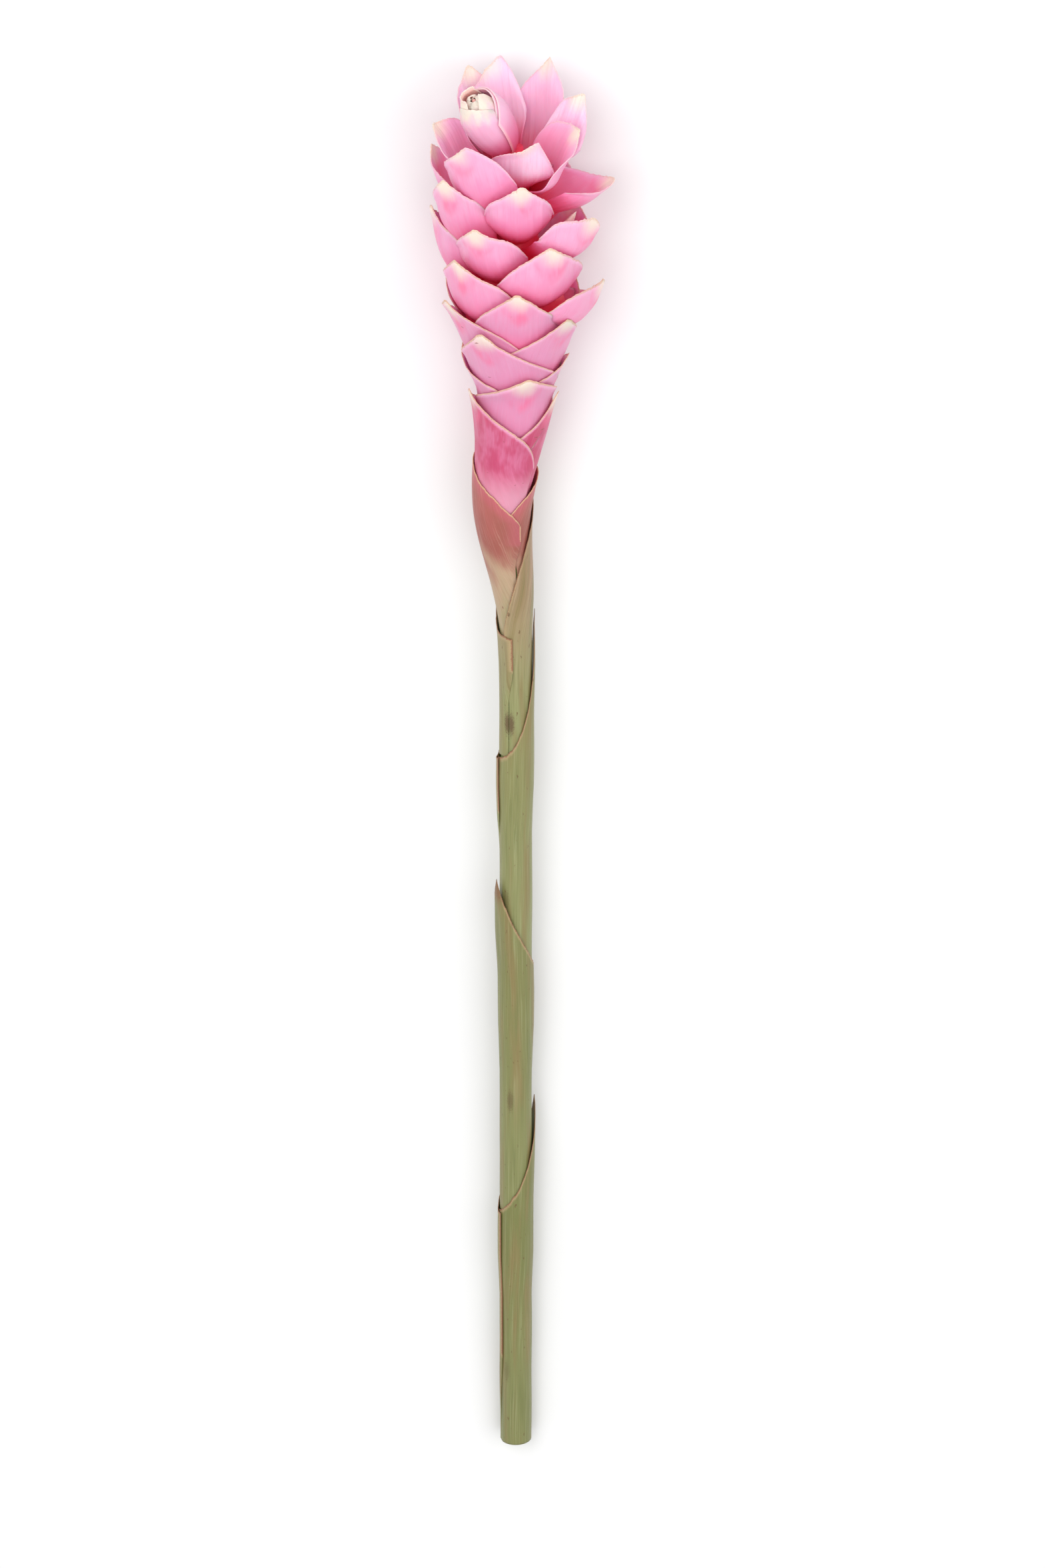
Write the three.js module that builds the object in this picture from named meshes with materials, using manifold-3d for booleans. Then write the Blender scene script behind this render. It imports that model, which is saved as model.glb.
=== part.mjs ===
// Red ginger (Alpinia purpurata), a pink form: one cut stem that lies on its back on a table.
// Millimetres. +Z is up. The stem lies along Y with its flower head towards +Y.
// "s" is the distance along the stem from its cut end, "r" the distance from the stem's axis,
// and "angle" turns round the axis: 0 faces up, a quarter turn faces +X, half a turn the table.
import * as THREE from 'three';
import { mergeVertices } from 'three/addons/utils/BufferGeometryUtils.js';
import Module from 'manifold-3d';

const { lerp, smoothstep, degToRad } = THREE.MathUtils;

// Driving dimensions
const LENGTH = 824; // cut end to the tips of the topmost bracts
const CANE_RADIUS = 8.0;
const SHEATH_THICKNESS = 0.7;
const SPATHE_THICKNESS = 1.0;
const BRACT_THICKNESS = 1.2;
const GAP = 0.3; // between neighbouring pieces
const SLIT = 0.04; // radians left open at each margin where a rolled leaf base doesn't overlap
const OVERLAP = 0.28; // radians that each margin goes past the other where it does

// Lie of the stem: the head's underside and the cut end touch the table
const AXIS_HEIGHT = 8.8; // of the axis above the table at the cut end
const AXIS_RISE = 0.0396; // rise of the axis for each millimetre of s
const NECK_SWAY = { at: 574, spread: 42, reach: 7 }; // the stem bends aside below the head
const TIP_CURL = { from: 705, left: 0.07, up: 0.2 }; // the head's top curls up and a little left

// Flower head
const GOLDEN_ANGLE = degToRad(137.5);
const FIRST_BRACT = -11;
const LAST_BRACT = 25;
const CLOSED_BRACT = 24; // this one is still wrapped round the tip bud
const HEAD_BOTTOM = 562;
const HEAD_TOP = 778.4;
const PRESSED_HEIGHT = 0.35; // the underside is pressed flat at this height
const PRESS_SOFTNESS = 1.4;
const REACH_DRAW = [1.2, 0.3]; // how far the tips of open and of wrapped bracts differ from the rule
const LEAN_DRAW = 4; // the same for the tips' lean, in degrees
const SLANT_DRAW = 0.04; // for the slant of the top edge, as a share of the length
const APEX_DRAW = 0.08; // for the place of the apex, as a share of the half width
const ROOT_HANDLE = 0.5; // bow of the midrib at the root and at the tip, as shares of the length
const TIP_HANDLE = 0.52;
const ROOT_WIDTH = 0.55; // half width at a bract's root as a share of its full half width
const GROWN_AT = 0.55; // share of a bract's length at which it has its full width
const WIDEST_TURN = 2.2; // radians that a bract reaches round at most
const CUP_TILT = 0.8; // how far an open bract's cross-section leans with its midrib
const BLUNT = 0.04; // rounding of the apex as a share of the half width
const SHOULDER_POWER = 8;
const LAYERS = { deep: 9, over: 45 }; // how deep a wrapped bract lies, and how far below its tip
const LOWEST_TIP = 642; // distance s below which the layers keep their depth
const LAYERED_WRAP = [0.45, 0.75]; // shares of wrapping between which a bract starts to lie in layers
const LAYERED_LOW = 0.6; // how much more a bract's foot does
const WRAPPED_INSIDE = 2.0; // inward thickness of a wrapped bract, whose foot is hidden
const WRAPPED_START = 0.15; // share of its length at which a wrapped bract starts
const WRAPPED_GRID = [8, 4];
const OPEN_GRID = [6, 5];
const CORE_SIDES = 14;

// The bracts change slowly from the foot of the head to its top. Each row is one stage: bract
// number, tip's s and r, root's distance below the tip and r, angle from the axis at root and
// tip in degrees, half width, cup radius, share of wrapping round the axis, and how far the top
// edge drops from the apex and at the shoulders, as shares of the length
const STAGE_KEYS = ['n', 'tipS', 'tipR', 'rootBelow', 'rootR', 'rootLean', 'tipLean', 'half', 'cup',
  'wrap', 'apexDrop', 'shoulderDrop'];
const STAGES = [
  [-11, 642, 23.6, 82, 11.5, 8, 10, 40, 20, 1, 0.46, 0.2],
  [-8, 660, 28.8, 74, 12.0, 14, 17, 42, 24, 1, 0.42, 0.2],
  [-5, 679, 34.4, 62, 12.5, 24, 19, 44, 28, 1, 0.42, 0.2],
  [-3, 691, 38.4, 54, 12.0, 34, 22, 38, 30, 0.8, 0.37, 0.22],
  [0, 709, 42.5, 48, 11.0, 54, 20, 30, 28, 0.5, 0.3, 0.22],
  [3, 722, 43.5, 43, 10.5, 68, 8, 26.5, 25, 0.2, 0.25, 0.22],
  [6, 736, 43.5, 40, 10.0, 72, 0, 24.5, 22, 0, 0.24, 0.22],
  [10, 754, 43.0, 40, 9.5, 70, 0, 23, 21, 0, 0.24, 0.22],
  [14, 773, 41.0, 41, 9.0, 66, 2, 21, 20, 0, 0.25, 0.22],
  [18, 793, 37.5, 44, 8.0, 58, 6, 19, 19, 0, 0.23, 0.22],
  [22, 808, 33.5, 52, 7.0, 46, 10, 17, 18, 0, 0.21, 0.24],
  [26, 813, 27.0, 52, 6.5, 36, 8, 15, 16, 0, 0.2, 0.26],
];

// How a bract stands: turn about the axis and twist in degrees, rise along the axis and reach
// from it in millimetres, lean outward in degrees, width and cup as factors, the apex's place
// and the top edge's slant along the half width, change of its drop, and depth among the layers
const PLAIN_HABIT = {
  turn: 0, rise: 0, reach: 0, lean: 0, twist: 0, width: 1, cup: 1, apex: 0, slant: 0, drop: 0, layer: 0,
};
const ODD_BRACTS = {
  '-11': { rise: 3, layer: 7 },
  '-10': { turn: -8, rise: -4, width: 1.35, drop: -0.12, layer: -7 },
  '-8': { turn: -11, rise: -2, drop: -0.2 },
  '-7': { width: 1.2, drop: -0.16 },
  '-6': { turn: -22, rise: -8, drop: -0.18 },
  '-5': { turn: 4, rise: 6, reach: 2, width: 1.04 },
  '-3': { turn: -3, rise: 1 },
  '-2': { turn: 23, rise: 2, drop: -0.1 },
  0: { turn: 3, rise: 2, width: 0.9 },
  2: { turn: -6, rise: -10, reach: 3, width: 1.3, slant: -0.2 },
  3: { turn: 7, rise: 4, reach: -2, width: 1.12 },
  5: { turn: -5, rise: 6, width: 1.14, cup: 1.15, apex: -0.05, slant: -0.06 },
  6: { turn: 10, rise: 10, reach: -2, twist: 12, width: 1.1 },
  7: { turn: 20, rise: -3 },
  8: { turn: -10, rise: 3, reach: -2, lean: 6, width: 1.1, apex: 0.1, slant: 0.04 },
  10: { turn: -6, rise: -6, reach: 6, lean: 6, width: 1.3, slant: -0.26 },
  11: { turn: 12, rise: 12, reach: -1, lean: 6, twist: 20, width: 1.05 },
  13: { turn: -7, rise: 5, reach: -3, lean: 4, width: 1.06, apex: 0.1 },
  14: { turn: 16, rise: 2, reach: 2, twist: 8, width: 1.1 },
  15: { rise: -20, reach: 12, lean: 36, width: 1.35 },
  16: { turn: -3, rise: 12, reach: 4, lean: 7, twist: 4, width: 1.38, cup: 1.28, apex: 0.34, slant: 0.09 },
  17: { rise: -28 },
  18: { turn: 20, rise: 1, reach: 1, lean: 31, twist: 36, width: 1.2, cup: 1.17, slant: 0.05, drop: -0.04 },
  19: { turn: 9, reach: 2, lean: 14, twist: -20, width: 1.1, cup: 1.08, slant: -0.07 },
  20: { turn: 13, rise: 14, reach: -4, apex: -0.2 },
  21: {
    turn: 17, rise: -8, reach: -5, lean: 14, twist: -24, width: 1.08, cup: 1.88, apex: 0.49, slant: -0.02,
    drop: 0.14,
  },
  22: { turn: 2, rise: 4, reach: 1, apex: -0.1 },
  23: { turn: 21, rise: -4, reach: 5, lean: 10, twist: 46, width: 0.72, cup: 1.54, apex: -0.18, slant: 0.09 },
  25: { turn: 41, rise: 2, reach: 2, width: 1.15, apex: -0.45 },
};

// Radius of the head's solid axis at distances s
const CORE_PROFILE = [[562, 12.0], [572, 13.2], [600, 15.4], [625, 18.0], [642, 19.8], [660, 23],
  [680, 27], [692, 27], [704, 22], [716, 16], [730, 12], [742, 9.5], [752, 8.5], [762, 8], [778.4, 6]];

// Radius of the outermost layer of wrapped bracts at distances s
const ENVELOPE = [[562, 12.0], [576, 14.1], [594, 16.1], [613, 18.5], [630, 21.4], [644, 24.0],
  [657, 27.8], [670, 31.6], [682, 34.8], [695, 39.0], [709, 43.0]];

// Outer radius of the spathe at distances s
const SPATHE_PROFILE = [[478, 8.0], [505, 8.2], [517, 9.2], [539, 11.6], [557, 13.6], [576, 15.8],
  [594, 17.8], [613, 20.2], [630, 23.2]];

// Rolled leaf bases, from the top of the stem down. "apex" is the side that the point is on in
// degrees, "base" to "notch" the closed part, and "rise" the height of the apex above the notch.
// "bend" shapes the right and left margins, which lie over each other above "rolled", and
// "flare" turns the point outwards.
const SPATHE = {
  apex: 202, base: 480, notch: 568.5, rise: 43, bend: [0.58, 0.74], rolled: [542, 560], flare: 0,
  thickness: SPATHE_THICKNESS, radius: (s) => along(SPATHE_PROFILE, s),
};
const sheathRadius = (inner) => (s) => along(inner, s) + SHEATH_THICKNESS;
const LEAF_SHEATHS = [
  {
    apex: 155, base: 432, notch: 503, rise: 96, bend: [0.85, 3.2], rolled: [462, 485], flare: 0,
    thickness: SHEATH_THICKNESS,
    radius: sheathRadius([[432, 8.3], [485, 8.3], [501, 8.7], [515, 9.8], [539, 12.3], [557, 14.3],
      [576, 16.5], [594, 18.5], [613, 20.9]]),
  },
  {
    apex: 100, base: 292, notch: 430, rise: 85, bend: [3, 3], rolled: [372, 400], flare: 0.8,
    thickness: SHEATH_THICKNESS,
    radius: sheathRadius([[292, 8.3], [385, 8.3], [413, 9.3], [490, 9.4], [505, 9.6], [520, 10.8]]),
  },
  {
    apex: -60, base: 150, notch: 300, rise: 58, bend: [1.9, 1.9], rolled: [232, 260], flare: 2.5,
    thickness: SHEATH_THICKNESS,
    radius: sheathRadius([[150, 8.3], [238, 8.3], [266, 9.3], [370, 9.4]]),
  },
  {
    apex: 110, base: 0, notch: 150, rise: 70, bend: [2, 2], rolled: [20, 60], flare: 1.2,
    thickness: SHEATH_THICKNESS,
    radius: sheathRadius([[0, 8.3], [96, 8.3], [122, 9.3], [230, 9.4]]),
  },
];

const SHEATH_GRID = [22, 7];
const SPATHE_GRID = [22, 8];
const LAPPED_FROM = [0.8, 0.95]; // shares of the half turn over which a margin climbs the other
const FLARED_FROM = 0.75; // share of the length above which the point turns outwards

// Radius of the cane at distances s: it is narrower where the leaf bases above grow from it
const CANE_PROFILE = [[0, 0], [0, CANE_RADIUS], [440, CANE_RADIUS], [474, 7.9], [477, 6.8], [505, 6.8],
  [517, 7.8], [539, 10.1], [557, 11.8], [561.7, 12.0], [561.7, 0]];
const CANE_SIDES = 20;

// Small flower bud between two bracts, from its foot to its point [side in degrees, r, s]
const FLOWER_BUD = { ends: [[70, 14, 715], [75, 33.5, 745]], radius: 3.2 };
const SPINDLE_OUTLINE = [[0, 0], [0.1, 0.5], [0.3, 0.92], [0.5, 1], [0.75, 0.75], [0.92, 0.35], [1, 0]];
const SPINDLE_SIDES = 10;

// Closed bud at the tip: where it starts, its size, its lean aside and upwards, the share of its
// length where it is fullest, its core, and the bracts round it with their side in degrees, half
// turn in radians, foot, top and drop of the shoulders as shares of the length, and their depth
const BUD = {
  base: 778.2, aside: -4.4, length: 37.6, radius: 10.8, lean: [-0.54, 0.43],
  fullest: 0.51, fullness: 0.6, core: { size: 0.86, top: 0.9, point: 0.92, rings: 8, sides: 12 },
  shoulderPower: 2.2, scaleThickness: [0.6, 0.8], grid: [6, 6],
  scales: [
    { angle: -35, halfTurn: 1.4, foot: 0.03, top: 0.92, drop: 0.13, layer: -0.4 },
    { angle: 35, halfTurn: 1.2, foot: 0.2, top: 0.98, drop: 0.26, layer: 1.0 },
    { angle: -124, halfTurn: 1.5, foot: 0.05, top: 1.04, drop: 0.02, layer: 1.0 },
    { angle: 135, halfTurn: 1.9, foot: 0.05, top: 0.91, drop: 0.3, layer: -1.5 },
  ],
};

const PINK = 0xec8fb4;
const CREAM = 0xf3dcd0;
const TAN_PINK = 0xdba79b;
const GREEN = 0x8fa66a;
const OLIVE = 0x98a06a;

const wasm = await Module();
wasm.setup();

// Straight lines between the points of a profile [[x, y], ...]
function along(profile, x) {
  const next = profile.findIndex((point) => point[0] >= x);
  if (next === 0) return profile[0][1];
  if (next < 0) return profile[profile.length - 1][1];
  const [x0, y0] = profile[next - 1];
  const [x1, y1] = profile[next];
  return lerp(y0, y1, (x - x0) / (x1 - x0));
}

// Centre of the stem at distance s
function axisPoint(s) {
  const sway = NECK_SWAY.reach * Math.exp(-(((s - NECK_SWAY.at) / NECK_SWAY.spread) ** 2));
  const beyond = Math.max(0, s - TIP_CURL.from);
  const curl = (beyond * beyond) / (LENGTH - TIP_CURL.from) / 2;
  return new THREE.Vector3(
    -sway - TIP_CURL.left * curl,
    s,
    AXIS_HEIGHT + AXIS_RISE * s + TIP_CURL.up * curl,
  );
}

// Point that lies "up" and "right" of the stem's axis at distance s
function place(up, right, s) {
  const step = 0.5;
  const tangent = axisPoint(s + step).sub(axisPoint(s - step)).normalize();
  const sideways = new THREE.Vector3().crossVectors(tangent, new THREE.Vector3(0, 0, 1)).normalize();
  const upwards = new THREE.Vector3().crossVectors(sideways, tangent);
  return axisPoint(s).addScaledVector(upwards, up).addScaledVector(sideways, right);
}

// The table presses what reaches below it up to one height, and leaves the rest as it is
function press(point) {
  const above = (point.z - PRESSED_HEIGHT) / PRESS_SOFTNESS;
  const softened = above > 20 ? above : Math.log1p(Math.exp(above));
  point.z = PRESSED_HEIGHT + PRESS_SOFTNESS * softened;
  return point;
}

// Repeatable draw between -1 and 1 for bract n
function draw(n, salt) {
  const wave = Math.sin(n * 12.9898 + salt * 78.233) * 43758.5453;
  return 2 * (wave - Math.floor(wave)) - 1;
}

// Closed thin solid round a curved middle surface. middle(u, t) gives its points for u from -1
// to 1 and t from 0 to 1, and both faces are split into triangles alike.
function bladeGeometry(middle, [outer, inner], columns, rows) {
  const across = columns + 1;
  const positions = [];
  const centre = (column, row) => middle(-1 + (2 * column) / columns, row / rows);
  for (const depth of [outer, -inner]) {
    for (let row = 0; row <= rows; row += 1) {
      for (let column = 0; column <= columns; column += 1) {
        const here = centre(column, row);
        const acrossLine = centre(Math.min(column + 0.5, columns), row)
          .sub(centre(Math.max(column - 0.5, 0), row));
        const alongLine = centre(column, Math.min(row + 0.5, rows))
          .sub(centre(column, Math.max(row - 0.5, 0)));
        const normal = new THREE.Vector3().crossVectors(acrossLine, alongLine).normalize();
        here.addScaledVector(normal, depth);
        positions.push(here.x, here.y, here.z);
      }
    }
  }
  const face = across * (rows + 1);
  const indices = [];
  const addQuad = (a, b, c, d) => indices.push(a, b, c, a, c, d);
  for (let row = 0; row < rows; row += 1) {
    for (let column = 0; column < columns; column += 1) {
      const a = row * across + column;
      indices.push(a, a + 1, a + across + 1, a, a + across + 1, a + across);
      const b = a + face;
      indices.push(b, b + across + 1, b + 1, b, b + across, b + across + 1);
    }
  }
  for (let column = 0; column < columns; column += 1) {
    addQuad(column, column + face, column + 1 + face, column + 1);
    const top = rows * across + column;
    addQuad(top, top + 1, top + 1 + face, top + face);
  }
  for (let row = 0; row < rows; row += 1) {
    const left = row * across;
    addQuad(left, left + across, left + across + face, left + face);
    const right = left + columns;
    addQuad(right, right + face, right + across + face, right + across);
  }
  const geometry = new THREE.BufferGeometry();
  geometry.setAttribute('position', new THREE.Float32BufferAttribute(positions, 3));
  geometry.setIndex(indices);
  return geometry;
}

// Round solid along the stem's axis, from profile points [s, r] that start and end on the axis
function turnedGeometry(profile, sides) {
  const points = profile.map(([s, r]) => new THREE.Vector2(r, s));
  const geometry = new THREE.LatheGeometry(points, sides);
  const position = geometry.attributes.position;
  for (let i = 0; i < position.count; i += 1) {
    const bent = place(position.getZ(i), position.getX(i), position.getY(i));
    position.setXYZ(i, bent.x, bent.y, bent.z);
  }
  return geometry;
}

function toSolid(geometry) {
  const bare = geometry.clone();
  bare.deleteAttribute('normal');
  bare.deleteAttribute('uv');
  const merged = mergeVertices(bare, 1e-4);
  return new wasm.Manifold(new wasm.Mesh({
    numProp: 3,
    vertProperties: Float32Array.from(merged.attributes.position.array),
    triVerts: Uint32Array.from(merged.index.array),
  }));
}

function toGeometry(solid) {
  const mesh = solid.getMesh();
  const geometry = new THREE.BufferGeometry();
  geometry.setAttribute('position', new THREE.Float32BufferAttribute(mesh.vertProperties, 3));
  geometry.setIndex([...mesh.triVerts]);
  return geometry;
}

// One whole body: hollows that fusing has sealed are filled, and loose scraps are dropped
function wholeBody(solid) {
  return solid.decompose().reduce((best, piece) => (piece.volume() > best.volume() ? piece : best));
}

// The part of a solid that lies above the table
function aboveTable(solid) {
  const depth = 20;
  const table = new THREE.BoxGeometry(300, 2 * LENGTH, depth);
  table.translate(0, LENGTH / 2, -depth / 2);
  return solid.subtract(toSolid(table));
}

// Values of the stage between two rows of STAGES
function stageAt(n) {
  const next = Math.max(1, STAGES.findIndex(([number]) => number >= n));
  const [low, high] = [STAGES[next - 1], STAGES[next]];
  const share = (n - low[0]) / (high[0] - low[0]);
  return Object.fromEntries(STAGE_KEYS.map((key, i) => [key, lerp(low[i], high[i], share)]));
}

// Direction of a cubic curve with control points a, b, c and d
function curveSlope([a, b, c, d], v) {
  return b.clone().sub(a).multiplyScalar((1 - v) ** 2)
    .addScaledVector(c.clone().sub(b), 2 * (1 - v) * v)
    .addScaledVector(d.clone().sub(c), v * v);
}

// Middle surface of bract n: a midrib that bows out from the axis, with the blade cupped
// across it, and a top edge that falls away from the apex on both sides. The middle of the
// blade's columns, w = 0, runs to the apex.
function bractSurface(n) {
  const stage = stageAt(n);
  const { wrap } = stage;
  const habit = { ...PLAIN_HABIT, ...ODD_BRACTS[n] };
  const angle = degToRad(habit.turn) - n * GOLDEN_ANGLE;
  const tip = new THREE.Vector2(
    stage.tipS + habit.rise,
    stage.tipR + habit.reach + lerp(...REACH_DRAW, wrap) * draw(n, 1),
  );
  const root = new THREE.Vector2(stage.tipS - stage.rootBelow, stage.rootR);
  const rootLean = degToRad(stage.rootLean);
  const tipLean = degToRad(stage.tipLean + habit.lean + LEAN_DRAW * draw(n, 2));
  const length = tip.distanceTo(root);
  const rootBow = new THREE.Vector2(Math.cos(rootLean), Math.sin(rootLean));
  const tipBow = new THREE.Vector2(Math.cos(tipLean), Math.sin(tipLean));
  const ends = [
    root,
    root.clone().addScaledVector(rootBow, ROOT_HANDLE * length),
    tip.clone().addScaledVector(tipBow, -TIP_HANDLE * length),
    tip,
  ];
  const midrib = new THREE.CubicBezierCurve(...ends);
  const apexAt = habit.apex + APEX_DRAW * draw(n, 4);
  const slant = habit.slant + SLANT_DRAW * draw(n, 3);
  return (w, t) => {
    const u = apexAt + w * (w < 0 ? 1 + apexAt : 1 - apexAt);
    const fromApex = Math.hypot(w, BLUNT) - BLUNT;
    const top = 1 - (stage.apexDrop + habit.drop) * fromApex
      - stage.shoulderDrop * Math.abs(u) ** SHOULDER_POWER + slant * u;
    const v = t * top;
    const rib = midrib.getPoint(v);
    const slope = curveSlope(ends, v);
    const low = LAYERED_LOW * (1 - v) * Math.min(1, 2 * wrap);
    const layered = smoothstep(wrap + low, ...LAYERED_WRAP);
    const belowTip = Math.max(0, stage.tipS + habit.layer - Math.max(rib.x, LOWEST_TIP));
    const depth = LAYERS.deep * (1 - Math.exp(-belowTip / LAYERS.over));
    const r = lerp(rib.y, along(ENVELOPE, rib.x) - depth, layered);
    const grown = smoothstep(v, 0, GROWN_AT);
    const cup = lerp(lerp(stage.rootR, stage.cup * habit.cup, grown), r, wrap);
    const halfWidth = stage.half * habit.width * lerp(ROOT_WIDTH, 1, grown);
    const turn = u * Math.min(halfWidth / cup, WIDEST_TURN);
    const tilt = Math.atan2(slope.y, slope.x) * (1 - wrap) * CUP_TILT;
    const twist = degToRad(habit.twist) * grown;
    const folded = cup * (1 - Math.cos(turn));
    const spread = cup * Math.sin(turn);
    const inward = folded * Math.cos(twist) + spread * Math.sin(twist);
    const sideways = spread * Math.cos(twist) - folded * Math.sin(twist);
    const out = r - inward * Math.cos(tilt);
    return press(place(
      out * Math.cos(angle) - sideways * Math.sin(angle),
      out * Math.sin(angle) + sideways * Math.cos(angle),
      rib.x + inward * Math.sin(tilt),
    ));
  };
}

// All open pink bracts on their solid axis
function flowerHead() {
  const core = [[HEAD_BOTTOM, 0], ...CORE_PROFILE, [HEAD_TOP, 0]];
  let head = toSolid(turnedGeometry(core, CORE_SIDES));
  for (let n = FIRST_BRACT; n <= LAST_BRACT; n += 1) {
    if (n !== CLOSED_BRACT) {
      const wrapped = stageAt(n).wrap > 0.5;
      const [columns, rows] = wrapped ? WRAPPED_GRID : OPEN_GRID;
      const half = BRACT_THICKNESS / 2;
      const surface = bractSurface(n);
      const shown = wrapped ? (u, t) => surface(u, lerp(WRAPPED_START, 1, t)) : surface;
      const inside = wrapped ? WRAPPED_INSIDE : half;
      head = head.add(toSolid(bladeGeometry(shown, [half, inside], columns, rows)));
    }
  }
  const taken = [
    rolledSolid(SPATHE, SPATHE_GRID, GAP),
    tipBud(GAP),
    spindle(...FLOWER_BUD.ends, FLOWER_BUD.radius + GAP),
  ];
  for (const solid of taken) head = head.subtract(solid);
  return wholeBody(aboveTable(head));
}

// Middle surface of a leaf base rolled round the stem: its free margins meet at the notch,
// the left one over the right one, and its top edge rises from there to the apex behind
function rolledSurface(roll) {
  const { apex, base, notch, rise, bend, rolled, radius, thickness, flare } = roll;
  return (u, t) => {
    const share = Math.abs(u);
    const side = u < 0 ? bend[0] : bend[1];
    const top = notch + rise * (1 - share) ** side;
    const s = lerp(base, top, t);
    const lap = smoothstep(s, rolled[0], rolled[1]);
    const turn = u * (Math.PI + lerp(-SLIT, OVERLAP, lap));
    const over = (thickness + GAP) * smoothstep(u, ...LAPPED_FROM) * lap;
    const out = flare * smoothstep(t, FLARED_FROM, 1) * (1 - share) ** 2;
    const r = radius(s) - thickness / 2 + over + out;
    const angle = degToRad(apex) + turn;
    return place(r * Math.cos(angle), r * Math.sin(angle), s);
  };
}

// The rolled leaf base as a solid, or with more thickness the room that it needs
function rolledSolid(roll, [columns, rows], extra = 0) {
  const half = roll.thickness / 2 + extra;
  const surface = rolledSurface({ ...roll, notch: roll.notch + extra });
  return toSolid(bladeGeometry(surface, [half, half], columns, rows));
}

// Spindle between two points [side in degrees, r, s], with its greatest radius in the middle
function spindle(from, to, radius) {
  const [start, end] = [from, to].map(([side, r, s]) => (
    place(r * Math.cos(degToRad(side)), r * Math.sin(degToRad(side)), s)));
  const lengthways = end.clone().sub(start);
  const points = SPINDLE_OUTLINE.map(([share, width]) => (
    new THREE.Vector2(width * radius, share * lengthways.length())));
  const geometry = new THREE.LatheGeometry(points, SPINDLE_SIDES);
  const turn = new THREE.Quaternion()
    .setFromUnitVectors(new THREE.Vector3(0, 1, 0), lengthways.normalize());
  geometry.applyQuaternion(turn);
  geometry.translate(start.x, start.y, start.z);
  return toSolid(geometry);
}

// Closed bud at the head's tip: scales wrapped round a smaller core and leaning aside
function tipBud(extra = 0) {
  const length = BUD.length + 2 * extra;
  const base = BUD.base - extra;
  const radius = BUD.radius + extra;
  const lengthways = new THREE.Vector3(BUD.lean[0], 1, BUD.lean[1]).normalize();
  const sideways = new THREE.Vector3().crossVectors(lengthways, new THREE.Vector3(0, 0, 1)).normalize();
  const upwards = new THREE.Vector3().crossVectors(sideways, lengthways);
  const start = place(0, BUD.aside, base);
  const inBud = (r, angle, share) => start.clone()
    .addScaledVector(lengthways, share * length)
    .addScaledVector(upwards, r * Math.cos(angle))
    .addScaledVector(sideways, r * Math.sin(angle));
  const girth = (share) => (
    radius * Math.sqrt(Math.max(0, 1 - ((share - BUD.fullest) / BUD.fullness) ** 2)));
  const profile = [new THREE.Vector2(0, 0)];
  for (let ring = 0; ring <= BUD.core.rings; ring += 1) {
    const share = (BUD.core.top * ring) / BUD.core.rings;
    profile.push(new THREE.Vector2(BUD.core.size * girth(share), share));
  }
  profile.push(new THREE.Vector2(0, BUD.core.point));
  const core = new THREE.LatheGeometry(profile, BUD.core.sides);
  const position = core.attributes.position;
  for (let i = 0; i < position.count; i += 1) {
    const [x, share, z] = [position.getX(i), position.getY(i), position.getZ(i)];
    const point = inBud(Math.hypot(x, z), Math.atan2(x, z), share);
    position.setXYZ(i, point.x, point.y, point.z);
  }
  let bud = toSolid(core);
  BUD.scales.forEach(({ angle, halfTurn, foot, top, drop, layer }) => {
    const scale = (u, t) => {
      const share = lerp(foot, top - drop * Math.abs(u) ** BUD.shoulderPower, t);
      return inBud(girth(share) - layer, degToRad(angle) + halfTurn * u, share);
    };
    bud = bud.add(toSolid(bladeGeometry(scale, BUD.scaleThickness, ...BUD.grid)));
  });
  return wholeBody(bud);
}

const group = new THREE.Group();

function addPiece(name, solid, color, roughness) {
  const material = new THREE.MeshStandardMaterial({ color, roughness, metalness: 0 });
  const mesh = new THREE.Mesh(toGeometry(solid), material);
  mesh.name = name;
  group.add(mesh);
}

addPiece('stem', wholeBody(aboveTable(toSolid(turnedGeometry(CANE_PROFILE, CANE_SIDES)))), GREEN, 0.5);
LEAF_SHEATHS.forEach((roll, i) => {
  addPiece(`leaf_sheath_${i + 1}`, wholeBody(aboveTable(rolledSolid(roll, SHEATH_GRID))), OLIVE, 0.55);
});
addPiece('spathe', wholeBody(aboveTable(rolledSolid(SPATHE, SPATHE_GRID))), TAN_PINK, 0.5);
addPiece('flower_head', flowerHead(), PINK, 0.5);
addPiece('flower_bud', spindle(...FLOWER_BUD.ends, FLOWER_BUD.radius), CREAM, 0.5);
addPiece('tip_bud', tipBud(), CREAM, 0.55);

// The origin is on the table below the middle of the flower
const box = new THREE.Box3().setFromObject(group);
group.position.set(-(box.min.x + box.max.x) / 2, -(box.min.y + box.max.y) / 2, 0);

export default group;
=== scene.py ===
"""One cut stem of pink ginger (Alpinia purpurata) that lies on a table, in fine detail.

Lengths are in millimetres until a mesh is made. "s" is the distance along the stem from its cut
end, "r" the distance from the stem's axis, and "angle" turns round the axis: 0 faces up, a
quarter turn faces +X, half a turn the table.
"""

import math

import bpy
import numpy as np
from mathutils import Matrix, Vector


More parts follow.
